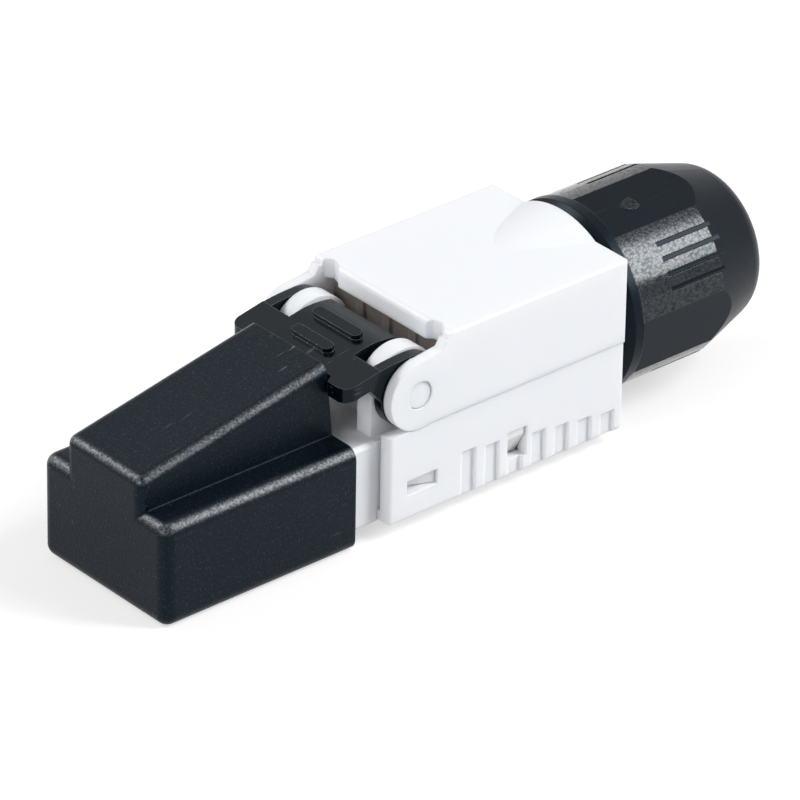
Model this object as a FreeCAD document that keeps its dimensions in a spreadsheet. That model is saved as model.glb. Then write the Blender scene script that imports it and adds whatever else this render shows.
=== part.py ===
import FreeCAD, Part
import math
import os
import Sketcher

# Field termination ethernet plug: a modular plug nose under a dust cap, a pinned latch lever,
# a hinged housing that closes over the wire terminals, and a gland nut that clamps the cable.
# The model is laid out from the front of the dust cap: x runs back to the gland nut, z runs up
# from the bottom of the lower housing. Every sub-part is then moved by one common shift, so that
# the part's own origin is under its middle, at the height of its lowest point.
# Millimetres and degrees.

SIZES = (
    # dust cap
    ("cap_length", 16.4, "dust cap, front to rear end"),
    ("cap_side_wall", 0.585, "side walls of the dust cap"),
    ("cap_drop", 1.06, "dust cap's underside below the lower housing's"),
    ("cap_shoulder_rise", 0.51, "dust cap's shoulders above the nose"),
    ("cap_edge", 0.9, "rounding of the dust cap's outer edges"),
    ("cap_wall", 0.75, "dust cap's front wall and roof"),
    ("cap_gap", 0.1, "clearance of the dust cap round the nose"),
    ("cap_roof_width", 7.96, "raised roof over the latch, side to side"),
    ("tongue_clearance", 0.41, "clearance of the raised roof over the lever's tongue"),
    ("cap_roof_slope", 0.198, "rise of the raised roof for each millimetre of length"),
    ("cap_roof_edge", 0.75, "rounding of the raised roof's edges"),
    ("cap_roof_wall", 0.68, "side walls of the raised roof"),
    ("cap_roof_lean", 0.57, "how far the roof's rear end leans forward"),
    # plug nose and the block behind it
    ("nose_side_gap", 0.235, "nose inside the housing's side walls"),
    ("nose_height", 6.45, "modular plug nose, bottom to top"),
    ("nose_drop", 0.15, "nose's underside below the lower housing's"),
    ("nose_setback", 0.9, "nose's front behind the dust cap's front"),
    ("nose_chamfer", 0.3, "chamfer on the nose's long edges"),
    ("neck_gap", 2.5, "nose in view between dust cap and housing"),
    ("block_length", 5.6, "carrier block of the nose inside the housing"),
    ("bridge_side_gap", 0.2, "clearance beside the bridge between the hinge lugs"),
    ("bridge_rise", 1.3, "bridge's height over the nose"),
    ("bridge_length", 4.0, "bridge, front to rear"),
    # plug contacts and the circuit board
    ("contact_pitch", 1.02, "spacing of the plug contacts"),
    ("contact_thickness", 0.35, "thickness of a plug contact"),
    ("contact_length", 4.0, "plug contact, front to rear"),
    ("contact_setback", 0.4, "plug contact's front behind the nose's front"),
    ("contact_recess", 0.5, "plug contact's edge above the nose's underside"),
    ("contact_round", 0.8, "rounding of a plug contact's front edge"),
    ("contact_slack", 0.05, "clearance beside a plug contact"),
    ("board_height", 3.4, "height of the circuit board's underside"),
    ("board_thickness", 0.8, "circuit board"),
    ("board_side_gap", 1.075, "circuit board inside the housing's side walls"),
    ("board_slack", 0.05, "clearance round the circuit board in the nose"),
    # lower housing
    ("housing_length", 21.15, "housing, front to rear"),
    ("housing_width", 14.05, "housing, side to side"),
    ("housing_height", 6.84, "lower housing, bottom to split line"),
    ("housing_wall", 0.95, "walls of both housing halves"),
    ("housing_edge", 0.35, "rounding of the housing's outer edges"),
    ("bulkhead_gap", 0.9, "space between the bulkhead and the rear wall"),
    ("bulkhead_thickness", 1.0, "bulkhead that carries the gland neck"),
    ("bulkhead_step", 0.6, "bulkhead's rounded top inside the neck's radius"),
    ("groove_first", 6.6, "first grip groove behind the housing's front"),
    ("groove_pitch", 2.1, "spacing of the grip grooves"),
    ("groove_width", 1.1, "grip groove"),
    ("groove_depth", 0.3, "grip groove"),
    ("groove_round", 0.26, "rounded rear corner of a grip rib"),
    ("rib_round", 0.12, "rounded front corner of a grip rib"),
    ("groove_height", 3.5, "height of the first grip groove"),
    ("groove_fall", 0.278, "how much lower each next grip groove ends"),
    ("front_window_start", 1.57, "front snap window behind the housing's front"),
    ("front_window_length", 2.7, "front snap window"),
    ("front_window_bottom", 1.95, "front snap window"),
    ("front_window_height", 1.1, "front snap window"),
    ("rear_window_start", 10.53, "rear snap window behind the housing's front"),
    ("rear_window_length", 1.77, "rear snap window"),
    ("rear_window_bottom", 1.2, "rear snap window"),
    ("rear_window_height", 2.27, "rear snap window"),
    ("snap_gap", 0.07, "clearance of a snap lug in its window"),
    ("snap_recess", 0.2, "snap lug's face inside the housing's side"),
    # hinge
    ("pin_setback", 2.65, "hinge pin behind the housing's front"),
    ("pin_rise", 2.49, "hinge pin above the split line"),
    ("pin_radius", 0.98, "hinge pin"),
    ("pin_fit", 0.04, "running clearance round the hinge pin"),
    ("pin_recess", 0.12, "hinge pin's end below the ear's outer face"),
    ("lug_radius", 2.83, "hinge lug's rounded top"),
    ("lug_thickness", 1.4, "hinge lug"),
    ("lug_side_gap", 0.11, "clearance between hinge lug and cheek"),
    ("ear_radius", 2.6, "ear of the top cover"),
    ("ear_thickness", 0.8, "ear of the top cover"),
    ("ear_relief", 0.05, "clearance of the ear's round end over the lower housing"),
    ("ear_climb", 0.22, "rise of the ear's top towards the step"),
    ("cover_edge", 0.14, "rounding of the cover's outer edges"),
    # top cover
    ("cover_rise", 6.39, "top of the cover above the split line"),
    ("seam_gap", 0.01, "split line between the housing halves"),
    ("cover_front", 5.15, "cover's front lip behind the housing's front"),
    ("lip_depth", 1.5, "depth of the cover's front lip"),
    ("lip_side_gap", 1.355, "notch between the cover's front lip and its ear"),
    ("lip_round", 0.5, "rounding of the cover's front lip"),
    ("notch_length", 0.85, "cover's front lip, front to rear"),
    ("notch_depth", 0.55, "notches beside the cover's front lip"),
    ("notch_apex", 0.7, "notch's rear end beside the cover's front lip"),
    ("notch_side", 0.2, "notch's edge at the ear behind the lip's front"),
    ("lip_corner", 0.35, "slanted corner of the cover's front lip"),
    ("step_start", 1.85, "step of the ear behind the hinge pin"),
    ("step_length", 0.7, "slope of that step"),
    ("bulge_rise", 0.175, "bulge's radius over the housing's half width"),
    ("bulge_length", 5.6, "cover's rear bulge, front to rear"),
    # latch lever
    ("lever_rise", 2.02, "lever's top above the hinge pin at the lobes' root"),
    ("lever_slope", 0.2, "rise of the lever for each millimetre of length"),
    ("lever_thickness", 1.07, "lever's plate"),
    ("lever_root", 16.3, "lobes' root behind the dust cap's front"),
    ("lever_bend", 19.4, "where the lever's plate starts to curve down"),
    ("lever_end", 22.45, "lever's rear edge behind the dust cap's front"),
    ("lever_end_rise", 2.57, "lever's rear edge above the hinge pin"),
    ("saddle_radius", 6.95, "curve of the lever's rear saddle"),
    ("lever_side_gap", 0.105, "clearance between cheek and cover's ear"),
    ("cheek_thickness", 0.81, "lever's cheek"),
    ("lobe_lead", 0.52, "lobes in front of their root"),
    ("lobe_width", 1.95, "lobe, from its front edge's inner end to its side"),
    ("lobe_round", 0.9, "lobe's rounded outer corner"),
    ("slot_start", 18.75, "slots over the hinge lugs behind the dust cap's front"),
    ("slot_clearance", 0.44, "clearance of the slot inside the hinge lug"),
    ("cheek_overhang", 0.06, "cheek's radius over the ear's"),
    ("cheek_bend", 17.85, "where the cheek's top edge starts to curve"),
    ("tongue_start", 1.5, "tongue's tip behind the dust cap's front"),
    ("tongue_tip", 0.7, "tongue's thickness at its tip"),
    ("lobe_gap", 1.2, "tongue's side inside the lobe's front edge"),
    ("tongue_waist", 3.2, "tongue's waist behind its catch shoulders"),
    ("tongue_shoulder", 8.2, "catch shoulders behind the dust cap's front"),
    ("tongue_waist_end", 13.0, "end of the tongue's waist"),
    ("tongue_flare", 1.5, "length over which the tongue widens again"),
    ("bar_width", 0.85, "grip bar"),
    ("bar_rise", 0.36, "grip bar's height over the lever"),
    ("front_bar_start", 17.7, "front grip bar behind the dust cap's front"),
    ("front_bar_margin", 1.41, "front grip bar's end inside the slot"),
    ("rear_bar_start", 19.85, "rear grip bar behind the dust cap's front"),
    ("rear_bar_margin", 1.01, "rear grip bar's end inside the slot"),
    # wire terminals
    ("terminal_front", 6.4, "terminal block behind the housing's front"),
    ("terminal_length", 7.3, "terminal block"),
    ("terminal_side_gap", 0.175, "terminal block inside the housing's side walls"),
    ("terminal_headroom", 3.08, "space over the terminal block under the cover"),
    ("blade_first", 1.9, "first blade row behind the terminal block's front"),
    ("blade_row", 3.6, "distance of the second blade row"),
    ("blade_margin", 1.85, "outer blade's middle inside the terminal block's side"),
    ("blade_width", 1.2, "insulation displacement blade"),
    ("blade_thickness", 0.4, "insulation displacement blade"),
    ("blade_recess", 0.3, "blade's tips below the terminal block's top"),
    ("blade_slot", 0.3, "blade's wire slot"),
    ("blade_slot_depth", 2.4, "blade's wire slot"),
    ("blade_slack", 0.1, "clearance round a blade"),
    ("wire_width", 1.0, "wire channel"),
    ("wire_depth", 2.6, "wire channel"),
    ("leg_thickness", 0.8, "terminal block's snap legs"),
    ("leg_gap", 0.12, "snap leg inside the housing's wall"),
    # wire manager under the cover
    ("manager_front", 6.9, "wire manager behind the housing's front"),
    ("manager_length", 6.8, "wire manager"),
    ("manager_side_gap", 0.475, "wire manager inside the cover's side walls"),
    ("manager_gap", 0.55, "wire manager above the terminal block"),
    ("apron_setback", 5.7, "wire manager's apron behind the housing's front"),
    ("apron_thickness", 0.45, "wire manager's apron"),
    ("apron_reach", 0.6, "apron below the terminal block's top"),
    ("apron_roof", 0.6, "roof that joins the apron to the wire manager"),
    ("rib_width", 0.7, "ribs on the apron's front"),
    ("rib_depth", 0.15, "ribs on the apron's front"),
    # cable gland
    ("gland_rise", 0.2, "gland's axis above the split line"),
    ("neck_side_gap", 1.425, "gland neck inside the housing's sides"),
    ("neck_wall", 1.0, "wall of the gland neck"),
    ("neck_length", 5.95, "gland neck behind the housing"),
    ("neck_clearance", 0.2, "cover's arch round the gland neck"),
    ("nut_gap", 0.35, "gland nut behind the housing"),
    ("nut_length", 14.35, "gland nut"),
    ("nut_overhang", 0.015, "nut's barrel over the housing's half width"),
    ("nut_collar_rise", 0.08, "gland nut's front collar over its barrel"),
    ("nut_collar", 1.35, "length of the gland nut's front collar"),
    ("nut_chamfer", 0.5, "gland nut's front chamfer"),
    ("nut_cone_length", 5.6, "gland nut's rear cone with its round end"),
    ("nut_cone_slope", 0.3, "fall of the rear cone for each millimetre of length"),
    ("nut_round", 2.0, "rounding of the gland nut's rear end"),
    ("nut_hole_inset", 3.34, "cable hole inside the nut's barrel"),
    ("nut_thread_gap", 0.1, "clearance of the nut's bore over the neck"),
    ("nut_thread_length", 6.4, "nut's wide bore"),
    ("nut_seat_step", 0.6, "nut's bore round the collet inside the neck's radius"),
    ("nut_seat_back", 4.25, "length over which the nut's bore narrows, with the hole"),
    ("nut_lip", 1.5, "length of the cable hole"),
    ("facet_count", 4, "flats and grip sectors round the nut"),
    ("facet_half_angle", 19.0, "half of the angle that a flat takes"),
    ("facet_turn", 13.5, "turn of the first flat from the top"),
    ("ridge_slot_width", 0.36, "slots in the nut's grip sectors"),
    ("ridge_slot_depth", 0.24, "inner slots in the nut's grip sectors"),
    ("ridge_side_depth", 0.13, "outer slots in the nut's grip sectors"),
    ("ridge_slot_start", 4.1, "slots behind the nut's front"),
    ("ridge_slot_angle", 8.9, "angle between the slots"),
    ("collet_start", 4.55, "collet's shank behind the housing"),
    ("collet_shank", 1.7, "length of the collet's shank"),
    ("collet_fit", 0.1, "clearance of the collet's shank in the neck"),
    ("collet_gap", 0.15, "clearance round the collet's fingers"),
    ("collet_taper", 0.45, "fall of the collet's fingers to their tips"),
    ("collet_back", 4.35, "collet's tips before the nut's rear end"),
    ("collet_wall", 0.5, "wall of the collet's shank"),
    ("collet_slit", 0.6, "slits between the collet's fingers"),
    ("collet_fingers", 6, "fingers of the collet"),
    ("seal_start", 6.0, "cable seal behind the housing"),
    ("seal_back", 0.35, "seal's rear end before the collet's tips"),
    ("seal_wall", 0.85, "wall of the cable seal"),
    ("seal_fit", 0.05, "clearance of the cable seal in the collet"),
)

BULGE_ANGLE = 68  # spread of the bulge about the gland's axis, which the flat top cuts off
PAIRS = 4
OVERRUN = 1.0  # how far a cut runs past the face that it opens


class Dim:
    """A size: its value, and the expression that binds it to the sheet."""

    def __init__(self, value, text):
        self.value = float(value)
        self.text = text

    def __add__(self, other):
        other = as_dim(other)
        return Dim(self.value + other.value, "(%s + %s)" % (self.text, other.text))

    def __sub__(self, other):
        other = as_dim(other)
        return Dim(self.value - other.value, "(%s - %s)" % (self.text, other.text))

    def __mul__(self, other):
        other = as_dim(other)
        return Dim(self.value * other.value, "(%s * %s)" % (self.text, other.text))

    def __truediv__(self, other):
        other = as_dim(other)
        return Dim(self.value / other.value, "(%s / %s)" % (self.text, other.text))

    def __rtruediv__(self, other):
        return as_dim(other) / self

    def __radd__(self, other):
        return as_dim(other) + self

    def __rsub__(self, other):
        return as_dim(other) - self

    def __rmul__(self, other):
        return as_dim(other) * self

    def __neg__(self):
        return Dim(-self.value, "(-1 * %s)" % self.text)

    def root(self):
        """The square root."""
        return Dim(math.sqrt(self.value), "sqrt(%s)" % self.text)

    def cosine(self):
        """The cosine of an angle in degrees."""
        return Dim(math.cos(math.radians(self.value)), "cos(%s * 1 deg)" % self.text)

    def sine(self):
        """The sine of an angle in degrees."""
        return Dim(math.sin(math.radians(self.value)), "sin(%s * 1 deg)" % self.text)


def as_dim(value):
    """A plain number as a size of its own."""
    if isinstance(value, Dim):
        return value
    return Dim(value, "%.6g" % value if value >= 0 else "(%.6g)" % value)


class Sizes:
    """The sheet's sizes, each under its own name."""

    def __init__(self, doc):
        sheet = doc.addObject("Spreadsheet::Sheet", "Size")
        for row, (name, value, note) in enumerate(SIZES, start=1):
            sheet.set("A%d" % row, name)
            sheet.set("B%d" % row, "%g" % value)
            sheet.set("C%d" % row, note)
            sheet.setAlias("B%d" % row, name)
            setattr(self, name, Dim(value, "Size.%s" % name))
        doc.recompute()


doc = FreeCAD.newDocument("field_termination_plug")
s = Sizes(doc)

# Places that several sub-parts share
housing_front = s.cap_length + s.neck_gap
housing_rear = housing_front + s.housing_length
half_width = s.housing_width / 2
inner_half = half_width - s.housing_wall
nose_front = s.nose_setback
nose_bottom = -s.nose_drop
nose_top = s.nose_height - s.nose_drop
nose_half = inner_half - s.nose_side_gap
block_rear = housing_front + s.block_length
pin_x = housing_front + s.pin_setback
pin_z = s.housing_height + s.pin_rise
ear_inner = half_width - s.ear_thickness
lever_half = ear_inner - s.lever_side_gap
cheek_inner = lever_half - s.cheek_thickness
cheek_radius = s.ear_radius + s.cheek_overhang
lug_inner = cheek_inner - s.lug_side_gap - s.lug_thickness
slot_inner = lug_inner - s.slot_clearance
cover_height = s.housing_height + s.cover_rise
cover_bottom = s.housing_height + s.seam_gap
cover_ceiling = cover_height - s.housing_wall
cover_front = housing_front + s.cover_front
board_half = inner_half - s.board_side_gap
board_top = s.board_height + s.board_thickness
terminal_top = cover_ceiling - s.terminal_headroom
terminal_half = inner_half - s.terminal_side_gap
terminal_front = housing_front + s.terminal_front
terminal_rear = terminal_front + s.terminal_length
blade_pitch = (terminal_half - s.blade_margin) * 2 / 3
leg_outer = inner_half - s.leg_gap
gland_height = s.housing_height + s.gland_rise
neck_radius = half_width - s.neck_side_gap
neck_bore = neck_radius - s.neck_wall
bulkhead_rear = housing_rear - s.housing_wall - s.bulkhead_gap
bulkhead_front = bulkhead_rear - s.bulkhead_thickness
nut_front = housing_rear + s.nut_gap
total_length = nut_front + s.nut_length
nut_radius = half_width + s.nut_overhang
nut_seat = neck_radius - s.nut_seat_step
nut_hole = nut_radius - s.nut_hole_inset
collet_start = housing_rear + s.collet_start
collet_end = total_length - s.collet_back
collet_bore = neck_bore - s.collet_fit - s.collet_wall


def lever_top(x):
    """Height of the lever's straight top over a place along its length."""
    return pin_z + s.lever_rise + s.lever_slope * (x - s.lever_root)


cap_half = nose_half + s.cap_gap + s.cap_side_wall
cap_shoulder = nose_top + s.cap_shoulder_rise
roof_front = lever_top(0) + s.tongue_clearance + s.cap_wall


def new_body(name, lift=0):
    """A body in the common place, or lifted onto an axis of its own."""
    body = doc.addObject("PartDesign::Body", name)
    body.Label = name
    body.setExpression("Placement.Base.x", (-total_length / 2).text)
    body.setExpression("Placement.Base.z", (s.cap_drop + lift).text)
    return body


def origin_item(body, role):
    """One of the body's own origin planes or axes."""
    return [item for item in body.Origin.OriginFeatures if item.Role == role][0]


def new_sketch(body, name, role, offset=0):
    """A sketch on one of the body's origin planes, moved along that plane's normal."""
    sketch = body.newObject("Sketcher::SketchObject", name)
    sketch.AttachmentSupport = [(origin_item(body, role), "")]
    sketch.MapMode = "FlatFace"
    sketch.setExpression("AttachmentOffset.Base.z", as_dim(offset).text)
    return sketch


def arc_centre(start, end, radius, left):
    """Centre of the short arc between two points that bulges to its left or right."""
    run_x = end[0].value - start[0].value
    run_y = end[1].value - start[1].value
    chord = math.hypot(run_x, run_y)
    rise = math.sqrt(max(radius.value ** 2 - chord ** 2 / 4, 0.0))
    side = -1 if left else 1
    mid_x = (start[0].value + end[0].value) / 2
    mid_y = (start[1].value + end[1].value) / 2
    return mid_x - side * rise * run_y / chord, mid_y + side * rise * run_x / chord


def add_outline(sketch, corners):
    """Closes one outline through the corners.

    A corner is (u, v), or (u, v, radius, "left" or "right") where the edge that arrives there
    is an arc that bulges to that side of its own direction.
    """
    points = [(as_dim(corner[0]), as_dim(corner[1])) for corner in corners]
    ends = []
    for index, corner in enumerate(corners):
        start = points[index - 1]
        end = points[index]
        if len(corner) == 2:
            edge = Part.LineSegment(
                FreeCAD.Vector(start[0].value, start[1].value, 0),
                FreeCAD.Vector(end[0].value, end[1].value, 0),
            )
            ends.append((sketch.addGeometry(edge, False), 1, 2, None))
            continue
        radius = as_dim(corner[2])
        left = corner[3] == "left"
        centre_x, centre_y = arc_centre(start, end, radius, left)
        angle_start = math.atan2(start[1].value - centre_y, start[0].value - centre_x)
        angle_end = math.atan2(end[1].value - centre_y, end[0].value - centre_x)
        circle = Part.Circle(FreeCAD.Vector(centre_x, centre_y, 0), FreeCAD.Vector(0, 0, 1), radius.value)
        if left:
            edge = Part.ArcOfCircle(circle, angle_end, angle_start)
            ends.append((sketch.addGeometry(edge, False), 2, 1, radius))
        else:
            edge = Part.ArcOfCircle(circle, angle_start, angle_end)
            ends.append((sketch.addGeometry(edge, False), 1, 2, radius))
    for index, (edge, _, tail, radius) in enumerate(ends):
        following = ends[(index + 1) % len(ends)]
        sketch.addConstraint(Sketcher.Constraint("Coincident", edge, tail, following[0], following[1]))
        pin_point(sketch, edge, tail, points[index])
        if radius is not None:
            number = sketch.addConstraint(Sketcher.Constraint("Radius", edge, radius.value))
            sketch.setExpression("Constraints[%d]" % number, radius.text)


def pin_point(sketch, edge, end, point):
    """Fixes one end of an edge by two sizes from the sketch's origin."""
    for kind, axis, place in (("DistanceX", -2, point[0]), ("DistanceY", -1, point[1])):
        if place.text == "0":
            sketch.addConstraint(Sketcher.Constraint("PointOnObject", edge, end, axis))
            continue
        number = sketch.addConstraint(Sketcher.Constraint(kind, -1, 1, edge, end, place.value))
        sketch.setExpression("Constraints[%d]" % number, place.text)


def add_circle(sketch, u, v, radius):
    """Adds a full circle."""
    centre = FreeCAD.Vector(u.value, v.value, 0)
    circle = sketch.addGeometry(Part.Circle(centre, FreeCAD.Vector(0, 0, 1), radius.value), False)
    pin_point(sketch, circle, 3, (u, v))
    number = sketch.addConstraint(Sketcher.Constraint("Radius", circle, radius.value))
    sketch.setExpression("Constraints[%d]" % number, radius.text)


def rectangle(left, bottom, right, top):
    """Corners of a rectangle."""
    return [(left, bottom), (right, bottom), (right, top), (left, top)]


def extrude(body, sketch, name, length, kind="Pad", symmetric=False, backwards=False):
    """Pads the sketch, or cuts a pocket with it."""
    feature = body.newObject("PartDesign::" + kind, name)
    feature.Profile = sketch
    feature.setExpression("Length", as_dim(length).text)
    feature.SideType = "Symmetric" if symmetric else "One side"
    feature.Reversed = backwards
    sketch.Visibility = False
    doc.recompute()
    return feature


def turn(body, sketch, name, kind="Revolution", angle=360, symmetric=False):
    """Turns the sketch about its own horizontal axis."""
    feature = body.newObject("PartDesign::" + kind, name)
    feature.Profile = sketch
    feature.ReferenceAxis = (sketch, ["H_Axis"])
    feature.setExpression("Angle", as_dim(angle).text)
    feature.Midplane = symmetric
    doc.recompute()
    return feature


def mirror(body, originals, name):
    """Repeats features on the other side of the middle plane."""
    feature = body.newObject("PartDesign::Mirrored", name)
    feature.Originals = originals
    feature.MirrorPlane = (origin_item(body, "XZ_Plane"), [""])
    body.Tip = feature
    doc.recompute()
    return feature


def repeat_round(body, originals, name, count):
    """Repeats features round the body's own x axis."""
    feature = body.newObject("PartDesign::PolarPattern", name)
    feature.Originals = originals
    feature.Axis = (origin_item(body, "X_Axis"), [""])
    feature.Angle = 360
    feature.setExpression("Occurrences", count.text)
    body.Tip = feature
    doc.recompute()
    return feature


def along(edge, axis):
    """Whether a straight edge runs along x, y or z."""
    if len(edge.Vertexes) != 2:
        return False
    run = edge.Vertexes[1].Point - edge.Vertexes[0].Point
    size = {"x": run.x, "y": run.y, "z": run.z}
    others = sum(abs(length) for name, length in size.items() if name != axis)
    return abs(size[axis]) > 0 and others < 1e-4 * abs(size[axis])


def dress(body, base, name, kind, size, wanted):
    """Rounds or chamfers the edges of a feature that the test picks."""
    edges = base.Shape.Edges
    names = ["Edge%d" % (number + 1) for number, edge in enumerate(edges) if wanted(edge)]
    feature = body.newObject("PartDesign::" + kind, name)
    feature.Base = (base, names)
    feature.setExpression("Radius" if kind == "Fillet" else "Size", size.text)
    body.Tip = feature
    doc.recompute()
    return feature


def near(value, place, slack=1e-3):
    """Whether a coordinate is at a place."""
    return abs(value - as_dim(place).value) < slack


def groove_end(number):
    """Height at which one of the grip grooves ends."""
    return s.groove_height - s.groove_fall * number


def make_lower_housing():
    """Lower housing: an open tray with grip grooves, snap windows and the gland neck."""
    body = new_body("lower_housing")
    sketch = new_sketch(body, "tray_plan", "XY_Plane")
    add_outline(sketch, rectangle(housing_front, -half_width, housing_rear, half_width))
    tray = extrude(body, sketch, "tray", s.housing_height)
    tray = dress(
        body, tray, "tray_edges", "Fillet", s.housing_edge,
        lambda edge: along(edge, "z")
        or (along(edge, "x") and near(edge.CenterOfMass.z, 0))
        or (along(edge, "y") and near(edge.CenterOfMass.z, 0)),
    )
    sketch = new_sketch(body, "cavity_plan", "XY_Plane", s.housing_height)
    add_outline(sketch, rectangle(housing_front - OVERRUN, -inner_half, bulkhead_front, inner_half))
    extrude(body, sketch, "cavity", s.housing_height - s.housing_wall, "Pocket")
    sketch = new_sketch(body, "rear_space_plan", "XY_Plane", s.housing_height)
    rear_wall = housing_rear - s.housing_wall
    add_outline(sketch, rectangle(bulkhead_rear, -inner_half, rear_wall, inner_half))
    extrude(body, sketch, "rear_space", s.housing_height - s.housing_wall, "Pocket")
    add_grip_grooves(body)
    add_windows(body)
    sketch = new_sketch(body, "ear_relief_profile", "XZ_Plane")
    add_circle(sketch, pin_x, pin_z, s.ear_radius + s.ear_relief)
    extrude(body, sketch, "ear_reliefs", s.housing_width + 2 * OVERRUN, "Pocket", symmetric=True)
    add_neck(body)
    return body


def add_grip_grooves(body):
    """Cuts the grip grooves into both sides, each lower than the one in front of it."""
    for number in range(7):
        start = housing_front + s.groove_first + s.groove_pitch * number
        end = start + s.groove_width
        sketch = new_sketch(body, "groove_plan_%d" % (number + 1), "XY_Plane")
        for side in (1, -1):
            face = half_width * side
            floor = (half_width - s.groove_depth) * side
            outside = (half_width + OVERRUN) * side
            bulge = "left" if side > 0 else "right"
            add_outline(sketch, [
                (start - s.groove_round, outside),
                (start - s.groove_round, face),
                (start, (half_width - s.groove_round) * side, s.groove_round, bulge),
                (start, floor),
                (end, floor),
                (end, (half_width - s.rib_round) * side),
                (end + s.rib_round, face, s.rib_round, bulge),
                (end + s.rib_round, outside),
            ])
        extrude(body, sketch, "groove_%d" % (number + 1), groove_end(number), "Pocket", backwards=True)


def add_windows(body):
    """Cuts the two pairs of snap windows through the side walls."""
    windows = (
        ("front", s.front_window_start, s.front_window_length, s.front_window_bottom, s.front_window_height),
        ("rear", s.rear_window_start, s.rear_window_length, s.rear_window_bottom, s.rear_window_height),
    )
    for name, start, length, bottom, height in windows:
        sketch = new_sketch(body, name + "_window_profile", "XZ_Plane")
        left = housing_front + start
        add_outline(sketch, rectangle(left, bottom, left + length, bottom + height))
        extrude(body, sketch, name + "_windows", s.housing_width + 2 * OVERRUN, "Pocket", symmetric=True)


def add_neck(body):
    """Adds the bulkhead's round top and the gland neck, and bores them."""
    sketch = new_sketch(body, "neck_profile", "XZ_Plane")
    sketch.setExpression("AttachmentOffset.Base.y", gland_height.text)
    neck_end = housing_rear + s.neck_length
    chamfer = (neck_radius - neck_bore) / 3
    add_outline(sketch, [
        (bulkhead_front, 0),
        (neck_end, 0),
        (neck_end, neck_radius - chamfer),
        (neck_end - chamfer, neck_radius),
        (bulkhead_rear, neck_radius),
        (bulkhead_rear, (neck_radius - s.bulkhead_step)),
        (bulkhead_front, (neck_radius - s.bulkhead_step)),
    ])
    turn(body, sketch, "neck")
    sketch = new_sketch(body, "neck_bore_profile", "XZ_Plane")
    sketch.setExpression("AttachmentOffset.Base.y", gland_height.text)
    add_outline(sketch, [
        (bulkhead_front - OVERRUN, 0),
        (neck_end + OVERRUN, 0),
        (neck_end + OVERRUN, neck_bore),
        (bulkhead_front - OVERRUN, neck_bore),
    ])
    turn(body, sketch, "neck_bore_cut", "Groove")


def contact_place(number):
    """Middle of a plug contact across the nose."""
    return s.contact_pitch * (number - 3.5)


def make_plug_body():
    """Plug body: the modular nose, its carrier block, the hinge lugs and the hinge pins."""
    body = new_body("plug_body")
    sketch = new_sketch(body, "nose_section", "YZ_Plane", nose_front)
    add_outline(sketch, rectangle(-nose_half, nose_bottom, nose_half, nose_top))
    nose = extrude(body, sketch, "nose", housing_front - nose_front)
    dress(
        body, nose, "nose_edges", "Chamfer", s.nose_chamfer,
        lambda edge: along(edge, "x") or near(edge.CenterOfMass.x, nose_front),
    )
    sketch = new_sketch(body, "block_section", "YZ_Plane", housing_front - s.nose_chamfer)
    add_outline(sketch, rectangle(-nose_half, s.housing_wall, nose_half, nose_top))
    extrude(body, sketch, "block", s.block_length + s.nose_chamfer)
    sketch = new_sketch(body, "bridge_section", "YZ_Plane", block_rear)
    half = lug_inner - s.bridge_side_gap
    add_outline(sketch, rectangle(-half, s.housing_wall, half, nose_top + s.bridge_rise))
    extrude(body, sketch, "bridge", s.bridge_length, backwards=True)
    lug = add_lug(body)
    pin = add_pin(body)
    snap = add_front_snap(body)
    mirror(body, [lug, pin, snap], "other_side")
    add_board_slot(body)
    return body


def add_lug(body):
    """Adds one hinge lug: a column with a round top about the hinge pin."""
    sketch = new_sketch(body, "lug_profile", "XZ_Plane", lug_inner)
    add_outline(sketch, [
        (pin_x - s.lug_radius, s.housing_wall),
        (pin_x + s.lug_radius, s.housing_wall),
        (pin_x + s.lug_radius, pin_z),
        (pin_x, pin_z + s.lug_radius, s.lug_radius, "right"),
        (pin_x - s.lug_radius, pin_z, s.lug_radius, "right"),
    ])
    return extrude(body, sketch, "lug", s.lug_thickness)


def add_pin(body):
    """Adds one hinge pin, whose end lies just inside the cover's ear."""
    root = lug_inner + s.lug_thickness / 2
    sketch = new_sketch(body, "pin_section", "XZ_Plane", root)
    add_circle(sketch, pin_x, pin_z, s.pin_radius)
    return extrude(body, sketch, "pin", half_width - s.pin_recess - root)


def add_front_snap(body):
    """Adds one snap wedge, which holds the nose in the front window."""
    bottom = s.front_window_bottom + s.snap_gap
    height = s.front_window_height - 2 * s.snap_gap
    sketch = new_sketch(body, "snap_plan", "XY_Plane", bottom)
    start = housing_front + s.front_window_start
    end = start + s.front_window_length - s.snap_gap
    root = -nose_half + s.nose_chamfer
    add_outline(sketch, [
        (start + s.snap_gap, root),
        (start + s.snap_gap, -nose_half),
        (end, -half_width + s.snap_recess),
        (end, root),
    ])
    return extrude(body, sketch, "snap", height)


def add_board_slot(body):
    """Cuts the slot for the circuit board and the slots for the plug contacts."""
    slot_front = nose_front + s.contact_setback - s.board_slack
    sketch = new_sketch(body, "board_slot_section", "YZ_Plane", block_rear + OVERRUN)
    half = board_half + s.board_slack
    add_outline(sketch, rectangle(-half, s.board_height - s.board_slack, half, board_top + s.board_slack))
    extrude(body, sketch, "board_slot", block_rear + OVERRUN - slot_front, "Pocket")
    sketch = new_sketch(body, "contact_slot_plan", "XY_Plane", nose_bottom - OVERRUN)
    half = s.contact_thickness / 2 + s.contact_slack
    end = nose_front + s.contact_setback + s.contact_length + s.contact_slack
    for number in range(2 * PAIRS):
        middle = contact_place(number)
        add_outline(sketch, rectangle(nose_front - OVERRUN, middle - half, end, middle + half))
    depth = s.board_height - nose_bottom + OVERRUN
    extrude(body, sketch, "contact_slots", depth, "Pocket", backwards=True)


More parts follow.
